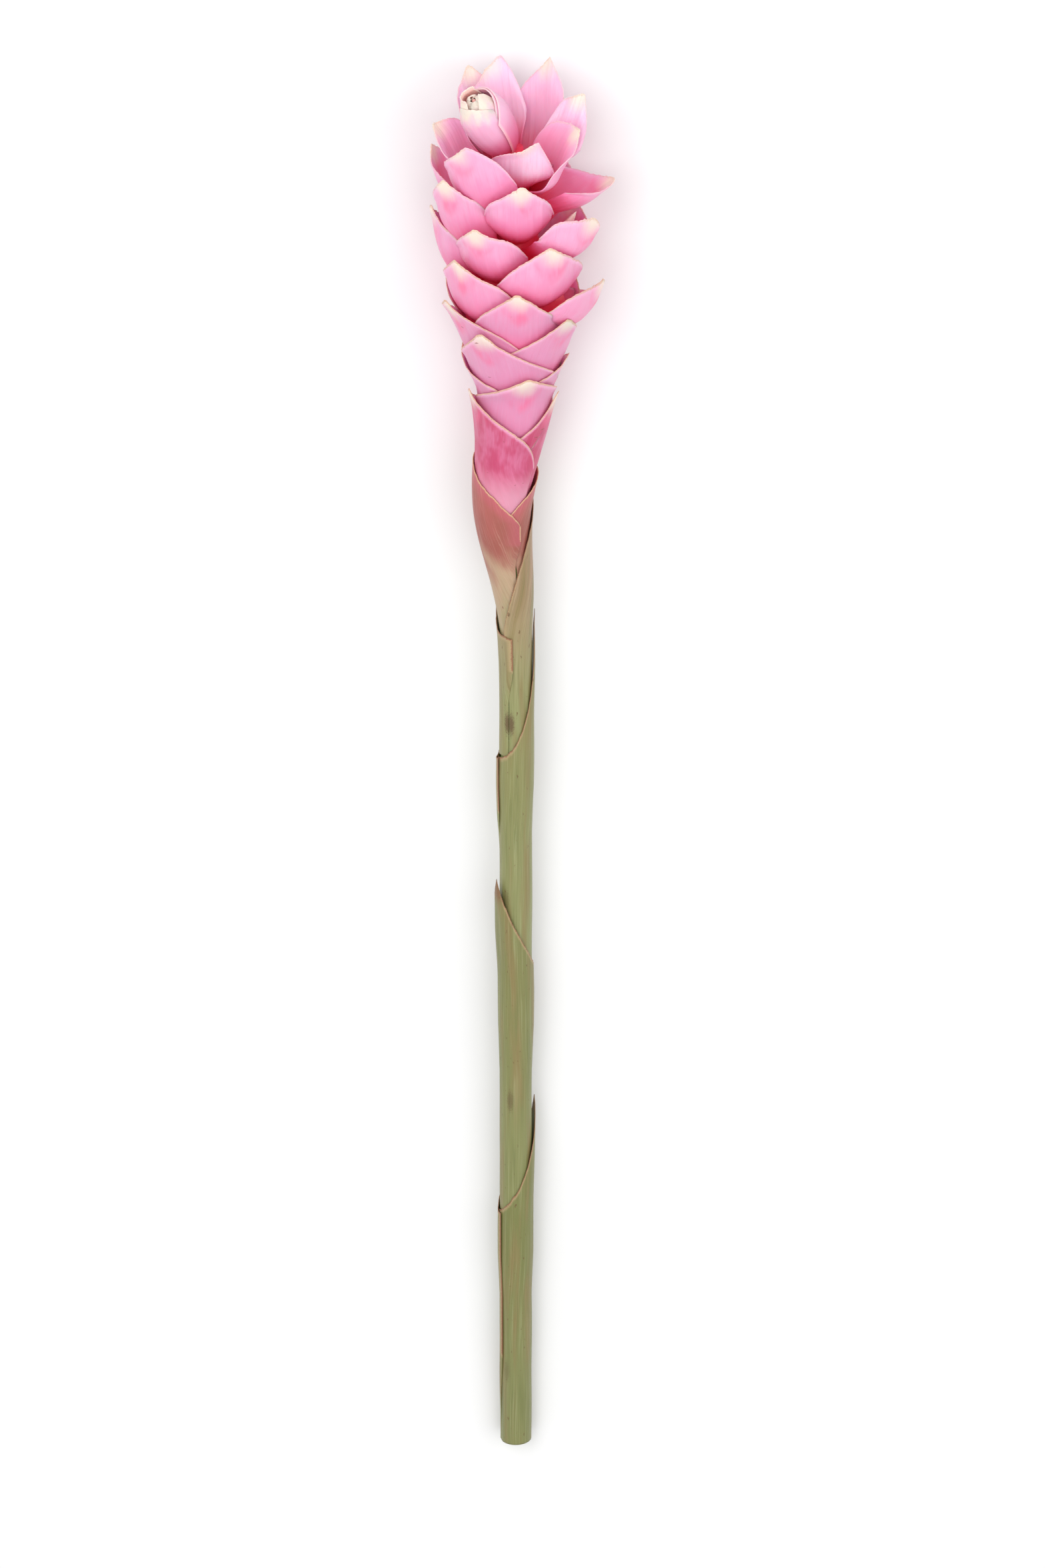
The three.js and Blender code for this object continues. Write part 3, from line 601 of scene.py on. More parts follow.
def bract_material():
    """Pink, lilac on the topmost bracts, with a rose-red root, a cream tip and streaks.

    Lower bracts have a drier margin, and the lowest are flushed.
    """
    sh = Shader("ginger_bract")
    across, lengthways = sh.value("mm_across"), sh.value("mm_along")
    grown, edge = sh.value("grown"), sh.value("edge_mm")
    apex, age = sh.value("apex_mm"), sh.value("age")
    inside, seed = sh.value("inside"), sh.value("seed")
    shift = sh.times(seed, 71.0)
    veins = sh.stretched(across, 1.6, lengthways, 0.05, shift, 3.0)
    broad = sh.stretched(across, 0.16, lengthways, 0.07, shift, 2.0)
    grain = sh.noise(sh.vector(across, lengthways, shift), 3.0, 2.0)

    body = sh.mix(sh.step(age, 0.15, 0.75), MAUVE_PINK, MID_PINK)
    tinted = sh.step(sh.math("ADD", grown, sh.times(broad, 0.3)), 0.72, 1.1)
    tinted = sh.times(tinted, sh.step(age, 0.1, 0.68, 0.18, 0.62))
    body = sh.mix(tinted, body, PALE_PINK)
    body = sh.mix(sh.step(age, 0.76, 0.9, 0.0, 0.9), body, LILAC_PINK)

    lifted = sh.math("ADD", grown, sh.step(age, 0.6, 0.84, 0.0, 0.13))
    rooted = sh.step(sh.math("ADD", lifted, sh.times(veins, 0.12)), 0.8, 0.38)
    body = sh.mix(sh.times(rooted, 0.9), body, ROSE)
    deep = sh.step(lifted, 0.42, 0.16)
    body = sh.mix(sh.times(deep, 0.9), body, DEEP_ROSE)

    lowest = sh.step(age, 0.1, 0.02)
    flushed = sh.times(lowest, sh.step(broad, 0.3, 0.6, 0.6, 1.0))
    body = sh.mix(flushed, body, FLUSHED)
    faded = sh.times(lowest, sh.step(grown, 0.64, 0.44, 0.0, 0.85))
    body = sh.mix(faded, body, FADED)
    # Inner faces a little rosier: partly the bract's own colour, partly painted shade and bounced
    # light inside the cups
    body = sh.mix(sh.times(inside, 0.1), body, ROSE)

    blush_far = sh.math("ADD", sh.math("ABSOLUTE", sh.math("SUBTRACT", apex, 12.0)),
                        sh.times(sh.math("ABSOLUTE", across), 0.55))
    blush = sh.times(sh.step(blush_far, 9.0, 1.0), sh.step(broad, 0.38, 0.62, 0.15, 0.6))
    blush = sh.times(blush, sh.step(age, 0.85, 0.7, 0.1, 1.0))
    body = sh.mix(blush, body, ROSE)

    streaks = sh.step(grown, 0.3, 0.7, 0.2, 1.0)
    body = sh.mix(sh.times(sh.step(veins, 0.52, 0.72, 0.0, 0.14), streaks), body, ROSE)
    body = sh.mix(sh.times(sh.step(veins, 0.48, 0.3, 0.0, 0.09), streaks), body, PALE_PINK)

    frayed = sh.math("SUBTRACT", edge, sh.uneven(grain, 2.4))
    body = sh.mix(sh.step(frayed, 3.2, 0.6, 0.0, 0.6), body, PALE_PINK)
    tipped = sh.step(sh.math("SUBTRACT", apex, sh.times(broad, 5.0)), 8.5, -1.0, 0.0, 0.85)
    body = sh.mix(tipped, body, CREAM)
    dry = sh.step(frayed, 1.0, 0.3, 0.0, 0.85)
    older = sh.step(age, 0.75, 0.2, 0.35, 1.0)
    body = sh.mix(sh.times(dry, older), body, TAN)
    specks = sh.step(grain, 0.6, 0.7)
    body = sh.mix(sh.times(sh.times(dry, specks), older), body, BROWN)
    scratch = sh.stretched(across, 0.16, lengthways, 0.5, shift, 1.0)
    scratched = sh.times(sh.step(scratch, 0.77, 0.8), sh.step(age, 0.4, 0.25, 0.0, 0.7))
    body = sh.mix(scratched, body, SCRATCHED)

    sh.bump(sh.math("ADD", veins, sh.times(grain, 0.25)), 0.00016, 0.6)
    sh.set(Base_Color=body, Roughness=sh.step(grain, 0.2, 0.8, 0.36, 0.5),
           Subsurface_Weight=0.45, Subsurface_Radius=(1.0, 0.45, 0.6), Subsurface_Scale=0.003,
           Specular_IOR_Level=0.45)
    return sh.material


def spathe_material():
    """Green at the foot, beige above it, then rust and rose, with scratches."""
    sh = Shader("ginger_spathe")
    across, lengthways = sh.value("mm_across"), sh.value("mm_along")
    edge, height = sh.value("edge_mm"), sh.value("height")
    veins = sh.stretched(across, 1.5, lengthways, 0.035, 3.0, 3.0)
    broad = sh.stretched(across, 0.1, lengthways, 0.04, 7.0, 2.0)
    grain = sh.noise(sh.vector(across, lengthways, 2.0), 2.4, 3.0)

    level = sh.math("ADD", height, sh.uneven(broad, 0.35))
    body = sh.mix(sh.step(level, 0.05, 0.45), LIGHT_GREEN, BEIGE)
    body = sh.mix(sh.step(level, 0.4, 0.62), body, SPATHE_RUST)
    body = sh.mix(sh.step(level, 0.62, 0.9), body, SPATHE_ROSE)
    body = sh.mix(sh.step(edge, 10.0, 1.0, 0.0, 0.5), body, SPATHE_MARGIN)
    body = sh.mix(sh.step(veins, 0.5, 0.72, 0.0, 0.2), body, SPATHE_DARK_VEIN)
    body = sh.mix(sh.step(veins, 0.48, 0.3, 0.0, 0.2), body, SPATHE_PALE_VEIN)
    frayed = sh.math("SUBTRACT", edge, sh.uneven(grain, 2.0))
    body = sh.mix(sh.step(frayed, 1.1, 0.4, 0.0, 0.8), body, TAN)
    scratch = sh.stretched(across, 0.5, lengthways, 0.16, 9.0, 3.0)
    body = sh.mix(sh.step(scratch, 0.7, 0.76, 0.0, 0.75), body, SPATHE_SCRATCH)

    sh.bump(sh.math("ADD", veins, sh.times(grain, 0.3)), 0.0002, 0.6)
    sh.set(Base_Color=body, Roughness=sh.step(grain, 0.2, 0.8, 0.38, 0.55),
           Subsurface_Weight=0.2, Subsurface_Radius=(1.0, 0.5, 0.35), Subsurface_Scale=0.0015)
    return sh.material


def sheath_material(name, seed, top, foot, dried, scar):
    """A leaf base: green with long stripes, a papery margin, a dried point and brown scars.

    A scar lies on each side of the point, at the same distance from it.
    """
    sh = Shader(name)
    across, lengthways = sh.value("mm_across"), sh.value("mm_along")
    edge, height = sh.value("edge_mm"), sh.value("height")
    apex = sh.value("apex_mm")
    veins = sh.stretched(across, 1.9, lengthways, 0.02, seed, 3.0)
    broad = sh.stretched(across, 0.16, lengthways, 0.014, seed, 2.0)
    grain = sh.noise(sh.vector(across, sh.times(lengthways, 0.6), seed), 2.2, 3.0)

    body = sh.mix(sh.step(height, 0.1, 0.8), foot, top)
    body = sh.mix(sh.step(broad, 0.45, 0.7, 0.0, 0.75), body, OLIVE)
    body = sh.mix(sh.step(broad, 0.42, 0.25, 0.0, 0.5), body, MID_GREEN)
    body = sh.mix(sh.step(veins, 0.52, 0.7, 0.0, 0.35), body, PALE_STRIPE)
    body = sh.mix(sh.step(veins, 0.46, 0.3, 0.0, 0.35), body, DARK_STRIPE)
    frayed = sh.math("SUBTRACT", edge, sh.uneven(grain, 2.4))
    body = sh.mix(sh.step(frayed, 3.4, 0.8, 0.0, 0.7), body, PAPERY)
    body = sh.mix(sh.step(frayed, 0.9, 0.3, 0.0, 0.8), body, DRY_MARGIN)
    dead = sh.math("SUBTRACT", apex, sh.times(veins, dried))
    body = sh.mix(sh.step(dead, dried * 0.7, dried * 0.05, 0.0, 0.95), body, DEAD_TIP)
    spots = sh.stretched(across, 0.55, lengthways, 0.2, seed + 5.0, 3.0)
    body = sh.mix(sh.step(spots, 0.66, 0.74, 0.0, 0.8), body, SPOTTED)

    scar_round, scar_along, scar_strength = scar
    beside = sh.math("SUBTRACT", sh.math("ABSOLUTE", across), scar_round)
    beyond = sh.times(sh.math("SUBTRACT", lengthways, scar_along), 0.3)
    far = sh.math("SQRT", sh.math("ADD", sh.times(beside, beside), sh.times(beyond, beyond)))
    far = sh.math("ADD", far, sh.uneven(grain, 4.0))
    body = sh.mix(sh.step(far, 2.6, 0.8, 0.0, scar_strength), body, SCARRED)

    sh.bump(sh.math("ADD", veins, sh.times(grain, 0.2)), 0.00022, 0.7)
    sh.set(Base_Color=body, Roughness=sh.step(grain, 0.2, 0.8, 0.36, 0.52),
           Subsurface_Weight=0.12, Subsurface_Radius=(0.6, 1.0, 0.3), Subsurface_Scale=0.001)
    return sh.material


def bud_material():
    """Rose at the foot, pale pink above, cream at the top, reddish tint and painted shade in the
    crown's hollow.
    """
    sh = Shader("ginger_bud")
    across, lengthways = sh.value("mm_across"), sh.value("mm_along")
    grown, edge = sh.value("grown"), sh.value("edge_mm")
    veins = sh.stretched(across, 1.1, lengthways, 0.06, 4.0, 3.0)
    grain = sh.noise(sh.vector(across, lengthways, 1.0), 1.3, 3.0)
    soft = sh.noise(sh.vector(across, lengthways, 8.0), 0.22, 2.0)

    body = sh.mix(sh.step(grown, -0.1, 0.2), BUD_FOOT, BUD_LOW)
    body = sh.mix(sh.step(grown, 0.12, 0.45), body, BUD_MIDDLE)
    body = sh.mix(sh.step(veins, 0.5, 0.72, 0.0, 0.16), body, BUD_VEIN)
    creamy = sh.math("ADD", grown, sh.uneven(soft, 0.4))
    body = sh.mix(sh.step(creamy, 0.6, 0.95), body, BUD_CREAM)
    # Darker reddish tint at the top of the core, in the crown's hollow: partly the bracts' colour,
    # partly painted shade
    body = sh.mix(sh.step(grown, 1.05, 1.2), body, BUD_HOLLOW_TINT_AND_SHADE)
    body = sh.mix(sh.times(sh.value("inside"), 0.3), body, BUD_INSIDE)
    flecks = sh.times(sh.step(grain, 0.6, 0.68), sh.step(grown, 0.8, 0.98))
    body = sh.mix(sh.times(flecks, 0.3), body, BUD_FLECK)
    body = sh.mix(sh.step(edge, 1.4, 0.3, 0.0, 0.4), body, BUD_MARGIN)

    sh.bump(sh.math("ADD", veins, sh.times(grain, 0.6)), 0.00014, 0.5)
    sh.set(Base_Color=body, Roughness=sh.step(grain, 0.2, 0.8, 0.36, 0.5),
           Subsurface_Weight=0.45, Subsurface_Radius=(1.0, 0.5, 0.55), Subsurface_Scale=0.003)
    return sh.material


def cane_material():
    """The cut face: green at its rim, pale inside, with fibres."""
    sh = Shader("ginger_cane")
    edge, across = sh.value("edge_mm"), sh.value("mm_across")
    lengthways, deep = sh.value("mm_along"), sh.value("height")
    fibres = sh.noise(sh.vector(across, lengthways, deep), 1.3, 2.0)

    body = sh.mix(sh.step(edge, 0.4, 2.4), CUT_RIM, CUT_MIDDLE)
    body = sh.mix(sh.step(fibres, 0.5, 0.66, 0.0, 0.6), body, DARK_FIBRE)
    body = sh.mix(sh.step(fibres, 0.44, 0.3, 0.0, 0.5), body, PALE_FIBRE)

    sh.bump(fibres, 0.0004, 0.8)
    sh.set(Base_Color=body, Roughness=sh.step(fibres, 0.3, 0.7, 0.45, 0.7),
           Subsurface_Weight=0.1, Subsurface_Radius=(0.7, 1.0, 0.4), Subsurface_Scale=0.001)
    return sh.material


# Flower head

def stage_at(n):
    return {key: float(np.interp(n, STAGES[:, 0], STAGES[:, i]))
            for i, key in enumerate(STAGE_KEYS)}


def bract(shell, n):
    """Adds bract n: the solid's own form, with a ragged edge, ripples and parallel furrows."""
    stage = stage_at(n)
    habit = {**PLAIN_HABIT, **ODD_BRACTS.get(n, {})}
    angle = math.radians(habit["turn"]) - n * GOLDEN_ANGLE
    wrap = stage["wrap"]
    tip = np.array([stage["tip_s"] + habit["rise"],
                    stage["tip_r"] + habit["reach"] + lerp(*REACH_DRAW, wrap) * draw(n, 1)])
    root = np.array([stage["tip_s"] - stage["root_below"], stage["root_r"]])
    root_lean = math.radians(stage["root_lean"])
    tip_lean = math.radians(stage["tip_lean"] + habit["lean"] + LEAN_DRAW * draw(n, 2))
    length = float(np.linalg.norm(tip - root))
    ends = [root,
            root + ROOT_HANDLE * length * np.array([math.cos(root_lean), math.sin(root_lean)]),
            tip - TIP_HANDLE * length * np.array([math.cos(tip_lean), math.sin(tip_lean)]), tip]
    u, t = blade_grid(*BRACT_GRID)
    side = np.abs(u)
    apex_at = habit["apex"] + APEX_DRAW * draw(n, 4)
    from_apex = np.where(u < apex_at, (apex_at - u) / (1 + apex_at),
                         (u - apex_at) / (1 - apex_at))
    blunt = np.sqrt(from_apex ** 2 + APEX_BLUNT ** 2) - APEX_BLUNT
    top = (1 - (stage["apex_drop"] + habit["drop"]) * blunt
           - stage["shoulder_drop"] * side ** SHOULDER_POWER
           + (habit["slant"] + SLANT_DRAW * draw(n, 3)) * u)
    frayed = (COARSE_FRAY * ripple(u * 9, n, 20)
              + FINE_FRAY * ripple(u * 41, n, 40, growth=1.5, fade=0.95))
    top = top + frayed / length
    v = t * top
    a, b, c, d = [((1 - v) ** (3 - k) * v ** k * math.comb(3, k))[..., None] * ends[k]
                  for k in range(4)]
    rib = a + b + c + d
    slope = (3 * (1 - v)[..., None] ** 2 * (ends[1] - ends[0])
             + 6 * ((1 - v) * v)[..., None] * (ends[2] - ends[1])
             + 3 * v[..., None] ** 2 * (ends[3] - ends[2]))
    layered = smoothstep(wrap + LAYERED_LOW * (1 - v) * min(1, 2 * wrap), *LAYERED_WRAP)
    below_tip = np.maximum(0, stage["tip_s"] + habit["layer"]
                           - np.maximum(rib[..., 0], LOWEST_TIP))
    depth = LAYERS_DEEP * (1 - np.exp(-below_tip / LAYERS_OVER))
    envelope = along(ENVELOPE, rib[..., 0]) - depth
    rib[..., 1] = lerp(rib[..., 1], envelope, layered)
    grown = smoothstep(v, 0, GROWN_AT)
    cup = lerp(stage["root_r"], stage["cup"] * habit["cup"], grown)
    cup = lerp(cup, rib[..., 1], wrap)
    half_width = stage["half"] * habit["width"] * lerp(ROOT_WIDTH, 1, grown)
    turn = u * np.minimum(half_width / cup, WIDEST_TURN)
    tilt = np.arctan2(slope[..., 1], slope[..., 0]) * (1 - wrap) * CUP_TILT
    twist = math.radians(habit["twist"]) * grown
    folded = cup * (1 - np.cos(turn))
    spread = cup * np.sin(turn)
    inward = folded * np.cos(twist) + spread * np.sin(twist)
    sideways = spread * np.cos(twist) - folded * np.sin(twist)
    out = rib[..., 1] - inward * np.cos(tilt)
    middle = place(out * math.cos(angle) - sideways * math.sin(angle),
                   out * math.sin(angle) + sideways * math.cos(angle),
                   rib[..., 0] + inward * np.sin(tilt))
    middle = soft_floor(middle, PRESSED_HEIGHT, PRESS_SOFTNESS)
    openness = 1 - WRAP_FLATTENS * wrap
    waves = (WAVE_HEIGHT * openness * smoothstep(t, 0.45, 1)
             * ripple(u * 3.4 + 1.5 * t, n, 60, waves=3))
    furrows = FURROW_DEPTH * smoothstep(t, 0.05, 0.4) * ripple(u * 22, n, 80, waves=3)
    flare = FLARE + OPEN_FLARE * openness * (0.5 + 0.5 * draw(n, 5))
    flare = flare * smoothstep(t, 0.84, 1) ** 2
    middle = middle + grid_normals(middle) * (waves + furrows + flare)[..., None]
    thin = lerp(1, 0.7, side ** 2) * lerp(1, 0.6, smoothstep(t, 0.8, 1)) * lerp(1, 0.65, layered)
    across = u * half_width
    edge = (top - v) * length
    margin = np.minimum(edge, (1 - side) * half_width + ROOT_MARGIN * smoothstep(v, 0.75, 0.35))
    apex = np.hypot(across, (1 - v) * length)
    add_blade(shell, middle, BRACT_HALF * thin, {
        "mm_across": across, "mm_along": v * length, "edge_mm": margin,
        "grown": lerp(v, 0.35 + 0.6 * v, wrap),
        "apex_mm": apex, "age": (n - FIRST_BRACT) / (LAST_BRACT - FIRST_BRACT),
        "seed": draw(n, 9),
    })


def turned(profile, sides, rings):
    """s, angle and r of a grid of points round the stem's axis, one row for each ring."""
    points = np.array(profile, float)
    levels = np.interp(np.linspace(0, 1, rings), np.linspace(0, 1, len(points)), points[:, 0])
    s, angle = tube_grid(levels, sides)
    return s, angle, along(profile, s)


def flower_axis(shell):
    """The axis that the bracts stand on, kept inside the wrapped ones."""
    s, angle, r = turned(CORE_PROFILE, CORE_SIDES, CORE_RINGS)
    r = np.minimum(r, np.maximum(along(ENVELOPE, s) - LAYERS_DEEP, CORE_LEAST)) - CORE_SUNK
    add_tube(shell, place_round(r, angle, s), {
        "mm_across": angle * r, "mm_along": s, "grown": 0.12, "edge_mm": 30.0, "apex_mm": 40.0,
        "age": 0.5, "seed": 0.2,
    })


bract_look = bract_material()
for name, first, last in (("bracts_foot", FIRST_BRACT, -3), ("bracts_open", -2, 8),
                          ("bracts_top", 9, LAST_BRACT)):
    shell = Shell()
    for number in range(first, last + 1):
        if number != CLOSED_BRACT:
            bract(shell, number)
    if name == "bracts_foot":
        flower_axis(shell)
    make_piece(name, shell, bract_look, ["flower_head"])


# Leaf bases rolled round the stem

def rolled(shell, roll, grid, ribs, seed):
    """A leaf base or the spathe: one blade rolled round the stem, with lapped margins."""
    thickness = roll.get("thickness", SHEATH_THICKNESS)
    u, t = blade_grid(*grid)
    side = np.abs(u)
    bend = np.where(u < 0, roll["bend"][0], roll["bend"][1])
    rise = roll["rise"] * np.maximum(0, 1 - side) ** bend
    frayed = COARSE_TEAR * ripple(u * 12, seed, 20) + FINE_TEAR * ripple(u * 47, seed, 40)
    top = roll["notch"] + rise + frayed * smoothstep(side, 0.0, 0.02)
    s = lerp(roll["base"], top, t)
    lap = smoothstep(s, *roll["rolled"])
    turn = u * (math.pi + lerp(-SLIT, OVERLAP, lap))
    over = (thickness + GAP) * smoothstep(u, *LAPPED_FROM) * lap
    out = roll["flare"] * smoothstep(t, FLARED_FROM, 1) * (1 - side) ** 2
    if "outer" in roll:
        radius = along(roll["outer"], s)
    else:
        radius = along(roll["inner"], s) + thickness
    r = radius - thickness / 2 + over + out
    r = r + ribs * ripple(u * 60, seed, 60, waves=3) * smoothstep(t, 0, 0.05)
    r = r + UNEVENNESS * ripple(s * 0.05 + 2 * u, seed, 90, waves=3)
    middle = place_round(r, math.radians(roll["apex"]) + turn, s)
    thin = lerp(1, 0.45, smoothstep(side, 0.9, 1)) * lerp(1, 0.5, smoothstep(t, 0.9, 1))
    across = turn * r
    edge = np.minimum(top - s, lerp(COVERED_MARGIN, 0, lap) + (1 - side) * math.pi * r)
    apex = np.hypot(across, roll["notch"] + roll["rise"] - s)
    height = (s - roll["base"]) / (roll["notch"] + roll["rise"] - roll["base"])
    add_blade(shell, middle, thickness / 2 * thin, {
        "mm_across": across, "mm_along": s, "edge_mm": edge, "apex_mm": apex, "height": height,
    })


shell = Shell()
rolled(shell, SPATHE, SPATHE_GRID, SPATHE_RIBS, SPATHE_SEED)
make_piece("spathe_wrap", shell, spathe_material(), ["spathe"])

for i, (roll, look) in enumerate(zip(LEAF_SHEATHS, SHEATH_LOOKS), 1):
    shell = Shell()
    rolled(shell, roll, SHEATH_GRID, SHEATH_RIBS, SHEATH_SEED + i)
    material = sheath_material(f"ginger_sheath_{i}", 10.0 * i, *look)
    make_piece(f"leaf_base_{i}", shell, material, [f"leaf_sheath_{i}"])


# Cane, mostly hidden: its cut face is what shows

def cane(shell):
    """The cane's side and top, and its cut face as rings with a rough height."""
    s, angle, r = turned(CANE_PROFILE, CANE_SIDES, CANE_RINGS)
    points = [place_round(r, angle, s).reshape(-1, 3)]
    faces = grid_faces(CANE_RINGS, CANE_SIDES, True)
    faces.append(tuple((CANE_RINGS - 1) * CANE_SIDES + i for i in range(CANE_SIDES)))
    edges = [np.zeros(s.size)]
    rights = [(r * np.sin(angle)).ravel()]
    ups = [(r * np.cos(angle)).ravel()]
    depths = [s.ravel()]
    previous, count = 0, CANE_RINGS * CANE_SIDES
    ring_angle = angle[0]
    for share, s_here in CUT_RINGS:
        radius = CANE_RADIUS * share
        rough = CUT_ROUGHNESS * np.sin(7 * ring_angle + 30 * share)
        points.append(place_round(radius, ring_angle, s_here + rough * share))
        edges.append(np.full(CANE_SIDES, CANE_RADIUS - radius))
        rights.append(radius * np.sin(ring_angle))
        ups.append(radius * np.cos(ring_angle))
        depths.append(np.full(CANE_SIDES, s_here))
        for i in range(CANE_SIDES):
            j = (i + 1) % CANE_SIDES
            faces.append((previous + j, previous + i, count + i, count + j))
        previous = count
        count += CANE_SIDES
    faces.append(tuple(previous + i for i in range(CANE_SIDES - 1, -1, -1)))
    shell.add(np.concatenate(points), faces, {
        "edge_mm": np.concatenate(edges), "mm_across": np.concatenate(rights),
        "mm_along": np.concatenate(ups), "height": np.concatenate(depths),
    })


shell = Shell()
cane(shell)
make_piece("cane", shell, cane_material(), ["stem"])


# Closed bud at the tip

def in_bud(r, angle, share):
    """Points at a share of the bud's length, round its own axis."""
    lengthways = unit(np.array([BUD_LEAN[0], 1, BUD_LEAN[1]]))
    start = place(0.0, BUD_ASIDE, BUD_BASE)
    return round_line(start, lengthways, share * BUD_LENGTH, r, angle)


def girth(share):
    """The bud's radius at a share of its length."""
    return BUD_RADIUS * np.sqrt(np.maximum(0, 1 - ((share - BUD_FULLEST) / BUD_FULLNESS) ** 2))


def bud_scale(shell, number, scale):
    """One bract of the bud, wrapped round its girth."""
    u, t = blade_grid(*BUD_SCALE_GRID)
    side = np.abs(u)
    top = (scale["top"] - scale["shoulder"] * side ** BUD_SHOULDER_POWER + scale["slant"] * u
           + BUD_FRAY * ripple(u * 13, number, 5))
    share = lerp(scale["foot"], top, t)
    full = girth(np.minimum(share, 1)) + scale["off"] + scale["out"] * smoothstep(t, 0.3, 1)
    r = full - scale["tuck"] * smoothstep(t, 0.75, 1)
    r = r + CREASE_DEPTH * ripple(u * 7 + share * 3, number, 15, waves=3)
    creases = (ripple(u * 11, number, 25, waves=4)
               + 0.6 * ripple(share * 50 + 4 * u, number, 35, waves=4))
    r = r + scale["crumple"] * smoothstep(t, 0.6, 1.0) * creases
    rolled_out = scale["rolled"] * smoothstep(side, 0.72, 1) ** 2
    middle = in_bud(r + rolled_out, math.radians(scale["angle"]) + scale["turn"] * u, share)
    thick = lerp(1, 0.7, side ** 2) * lerp(1, 0.7, smoothstep(t, 0.9, 1))
    add_blade(shell, middle, BUD_SCALE_HALF * thick, {
        "mm_across": u * scale["turn"] * np.maximum(full, 1), "mm_along": share * BUD_LENGTH,
        "grown": scale["pale"] * np.maximum(share, 0),
        "edge_mm": np.minimum((1 - t) * 20, (1 - side) * 16) + 0.2,
    }, rim=0.3)


def bud_core(shell):
    """What fills the bud inside its bracts, narrower at the crown."""
    share, angle = tube_grid(np.linspace(0, BUD_CORE_TOP, BUD_CORE_RINGS), BUD_CORE_SIDES)
    r = BUD_CORE_SIZE * girth(share) * lerp(1, 0.5, smoothstep(share, 0.6, 0.8))
    r = r * np.sqrt(1 - 0.98 * smoothstep(share, 0.82, BUD_CORE_TOP))
    add_tube(shell, in_bud(r, angle, share), {
        "mm_across": angle * r, "mm_along": share * BUD_LENGTH, "edge_mm": 9.0,
        # The core's top, deep in the crown's hollow, gets a darker reddish tint that is partly
        # painted shade
        "grown": share + 0.3 * smoothstep(share, 0.86, BUD_CORE_TOP),
    })


def bud_tuft(shell):
    """Cream ends of the closed bracts, folded over each other round a small hollow."""
    u, t = blade_grid(*TUFT_GRID)
    for k in range(TUFT_FOLDS):
        length = TUFT_LENGTH + 0.9 * draw(k, 3)
        width = (TUFT_WIDTH + 0.5 * draw(k, 4)) * (1 - 0.5 * t ** 3)
        curl = math.pi * (TUFT_CURL + 0.08 * draw(k, 5)) * t
        r = TUFT_REACH + 0.4 * draw(k, 6) + 0.9 * np.sin(curl) - TUFT_CLOSING * t ** 2
        r = r + 0.14 * ripple(u * 3 + t * 3, k, 7, waves=3)
        dip = 1.1 * np.abs(u) ** 3 * t
        forward = length * np.sin(curl * 0.62) - dip
        forward = forward + 0.15 * ripple(u * 4 - t * 2, k, 9, waves=3)
        around = (2 * math.pi * k / TUFT_FOLDS + u * width / np.maximum(r, 2.4)
                  + 0.3 * t * draw(k, 8))
        middle = in_bud(np.maximum(r, 0.6), around, TUFT_FOOT + forward / BUD_LENGTH)
        add_blade(shell, middle, np.full(u.shape, TUFT_HALF), {
            "mm_across": u * width + 5 * k, "mm_along": t * length + 9 * k,
            "grown": 0.8 + 0.16 * t, "edge_mm": (1 - t) * 4 + 0.2,
        }, rim=0.12)


shell = Shell()
for number, scale in enumerate(BUD_SCALES):
    bud_scale(shell, number, scale)
bud_core(shell)
bud_tuft(shell)
bud_look = bud_material()
make_piece("bud_at_tip", shell, bud_look, ["tip_bud"])


# Small flower bud between two bracts: a body with three shallow lobes

def flower_bud(shell):
    start, end = [place(r * math.cos(math.radians(side)), r * math.sin(math.radians(side)), s)
                  for side, r, s in FLOWER_BUD_ENDS]
    length = float(np.linalg.norm(end - start))
    share, angle = tube_grid(np.linspace(0, 1, FLOWER_BUD_RINGS), FLOWER_BUD_SIDES)
    r = FLOWER_BUD_RADIUS * along(FLOWER_BUD_OUTLINE, share)
    r = r * (1 + LOBE_DEPTH * np.cos(3 * angle + 2 * share) * smoothstep(share, 0.3, 0.8))
    add_tube(shell, round_line(start, unit(end - start), share * length, r, angle), {
        "mm_across": angle * r, "mm_along": share * length, "grown": share, "edge_mm": 9.0,
    })


shell = Shell()
flower_bud(shell)
make_piece("small_flower_bud", shell, bud_look, ["flower_bud"])


# Floor, light and camera

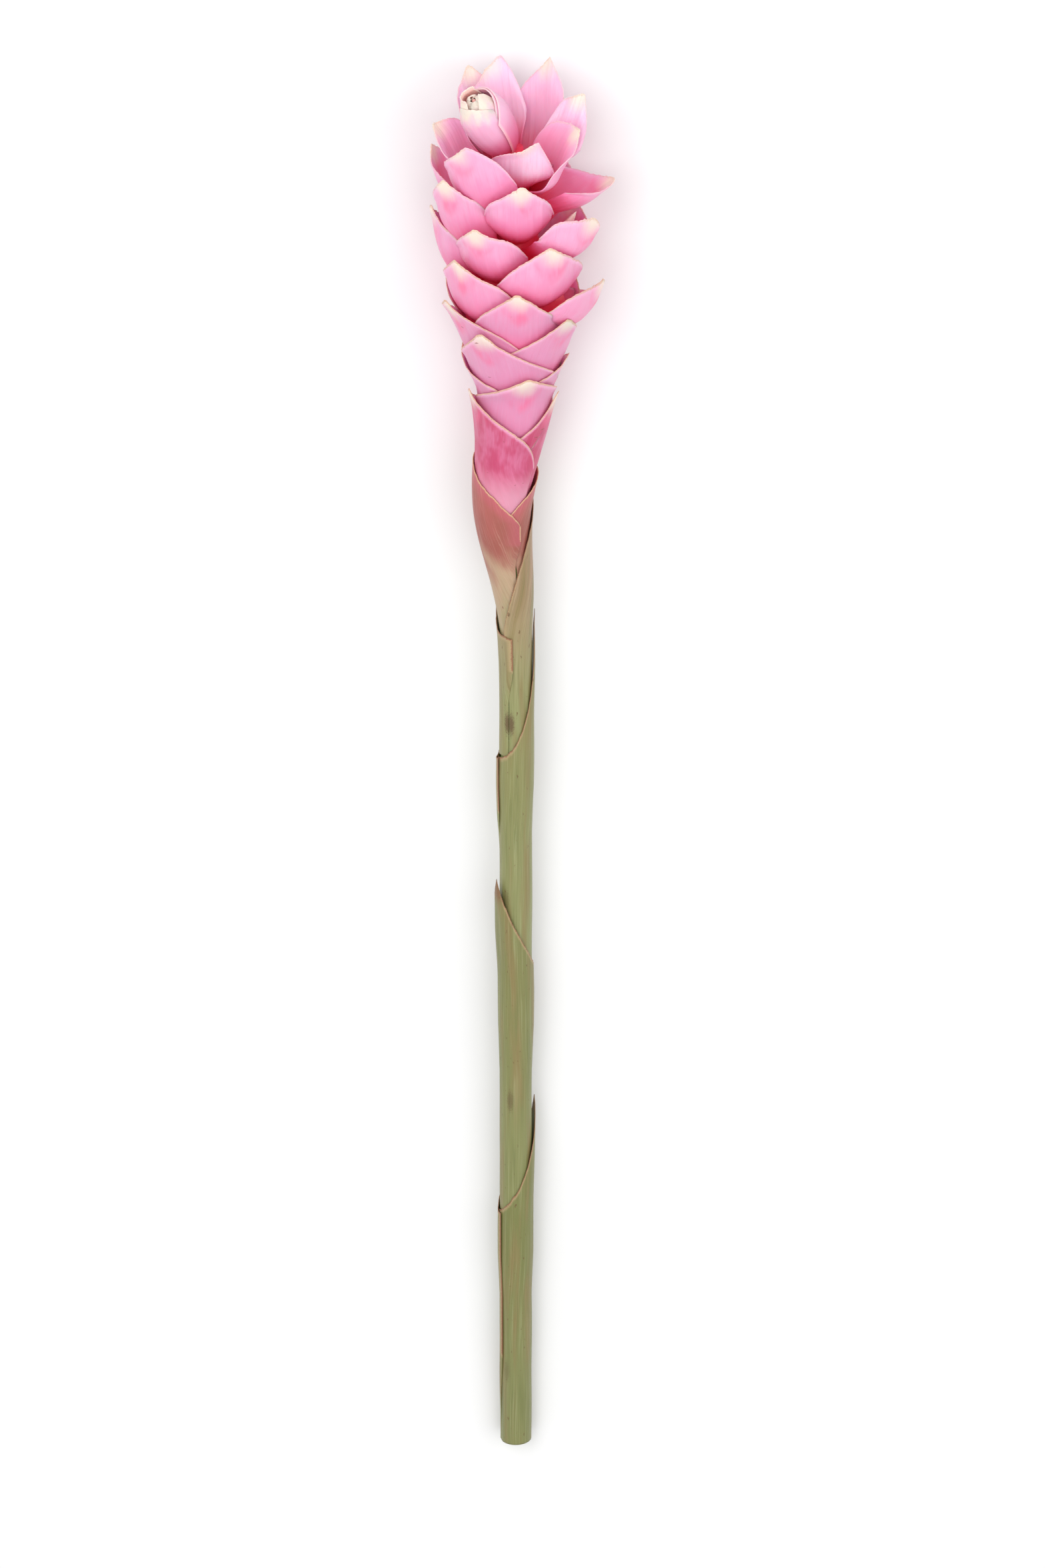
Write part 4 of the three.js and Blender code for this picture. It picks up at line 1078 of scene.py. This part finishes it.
FLOOR_HALF = 4.0
FLOOR_SHADES = (0.86, 0.86, 0.865), (0.9, 0.9, 0.9)
WORLD_STRENGTH = 0.7
floor_corners = [(-FLOOR_HALF, -FLOOR_HALF, 0), (FLOOR_HALF, -FLOOR_HALF, 0),
                 (FLOOR_HALF, FLOOR_HALF, 0), (-FLOOR_HALF, FLOOR_HALF, 0)]
floor_mesh = bpy.data.meshes.new("floor")
floor_mesh.from_pydata(floor_corners, [], [(0, 1, 2, 3)])
floor = bpy.data.objects.new("floor", floor_mesh)
bpy.context.scene.collection.objects.link(floor)
floor_shader = Shader("pale_floor")
coordinates = floor_shader.tree.nodes.new("ShaderNodeTexCoord").outputs["Object"]
mottle = floor_shader.noise(coordinates, 9.0, 3.0)
floor_shader.set(Base_Color=floor_shader.mix(mottle, *FLOOR_SHADES), Roughness=0.8)
floor_mesh.materials.append(floor_shader.material)

world = bpy.data.worlds.new("studio")
bpy.context.scene.world = world
world.use_nodes = True
background = world.node_tree.nodes["Background"]
background.inputs["Color"].default_value = (1.0, 1.0, 1.0, 1)
background.inputs["Strength"].default_value = WORLD_STRENGTH

TARGET = Vector((0, 0, 0.02))  # what the lamps and the camera point at, in metres


def add_light(name, location, size, energy):
    """A square lamp that points at the target: metres for place and size, watts for energy."""
    light = bpy.data.lights.new(name, "AREA")
    light.size = size
    light.energy = energy
    lamp = bpy.data.objects.new(name, light)
    lamp.location = location
    lamp.rotation_euler = (TARGET - Vector(location)).to_track_quat("-Z", "Y").to_euler()
    bpy.context.scene.collection.objects.link(lamp)


add_light("key", (-0.7, 0.9, 2.1), 1.7, 27)
add_light("fill", (1.1, 0.2, 1.9), 1.7, 14)

CAMERA_TILT = math.radians(22)
CAMERA_DISTANCE = 3.2
VIEW_HEIGHT = 0.86  # of what the camera takes in at the target
SENSOR_HEIGHT = 36
back = Vector((0, math.sin(CAMERA_TILT), math.cos(CAMERA_TILT)))
camera = bpy.data.cameras.new("camera")
camera.sensor_fit = "VERTICAL"
camera.sensor_height = SENSOR_HEIGHT
camera.lens = SENSOR_HEIGHT * CAMERA_DISTANCE / VIEW_HEIGHT
camera.clip_end = 50
camera_object = bpy.data.objects.new("camera", camera)
camera_object.location = TARGET + back * CAMERA_DISTANCE
right = Vector((0, 1, 0)).cross(back).normalized()
camera_up = back.cross(right)
camera_object.rotation_euler = Matrix((right, camera_up, back)).transposed().to_euler()
bpy.context.scene.collection.objects.link(camera_object)
bpy.context.scene.camera = camera_object
bpy.context.scene.view_settings.view_transform = "Standard"

bpy.context.view_layer.update()
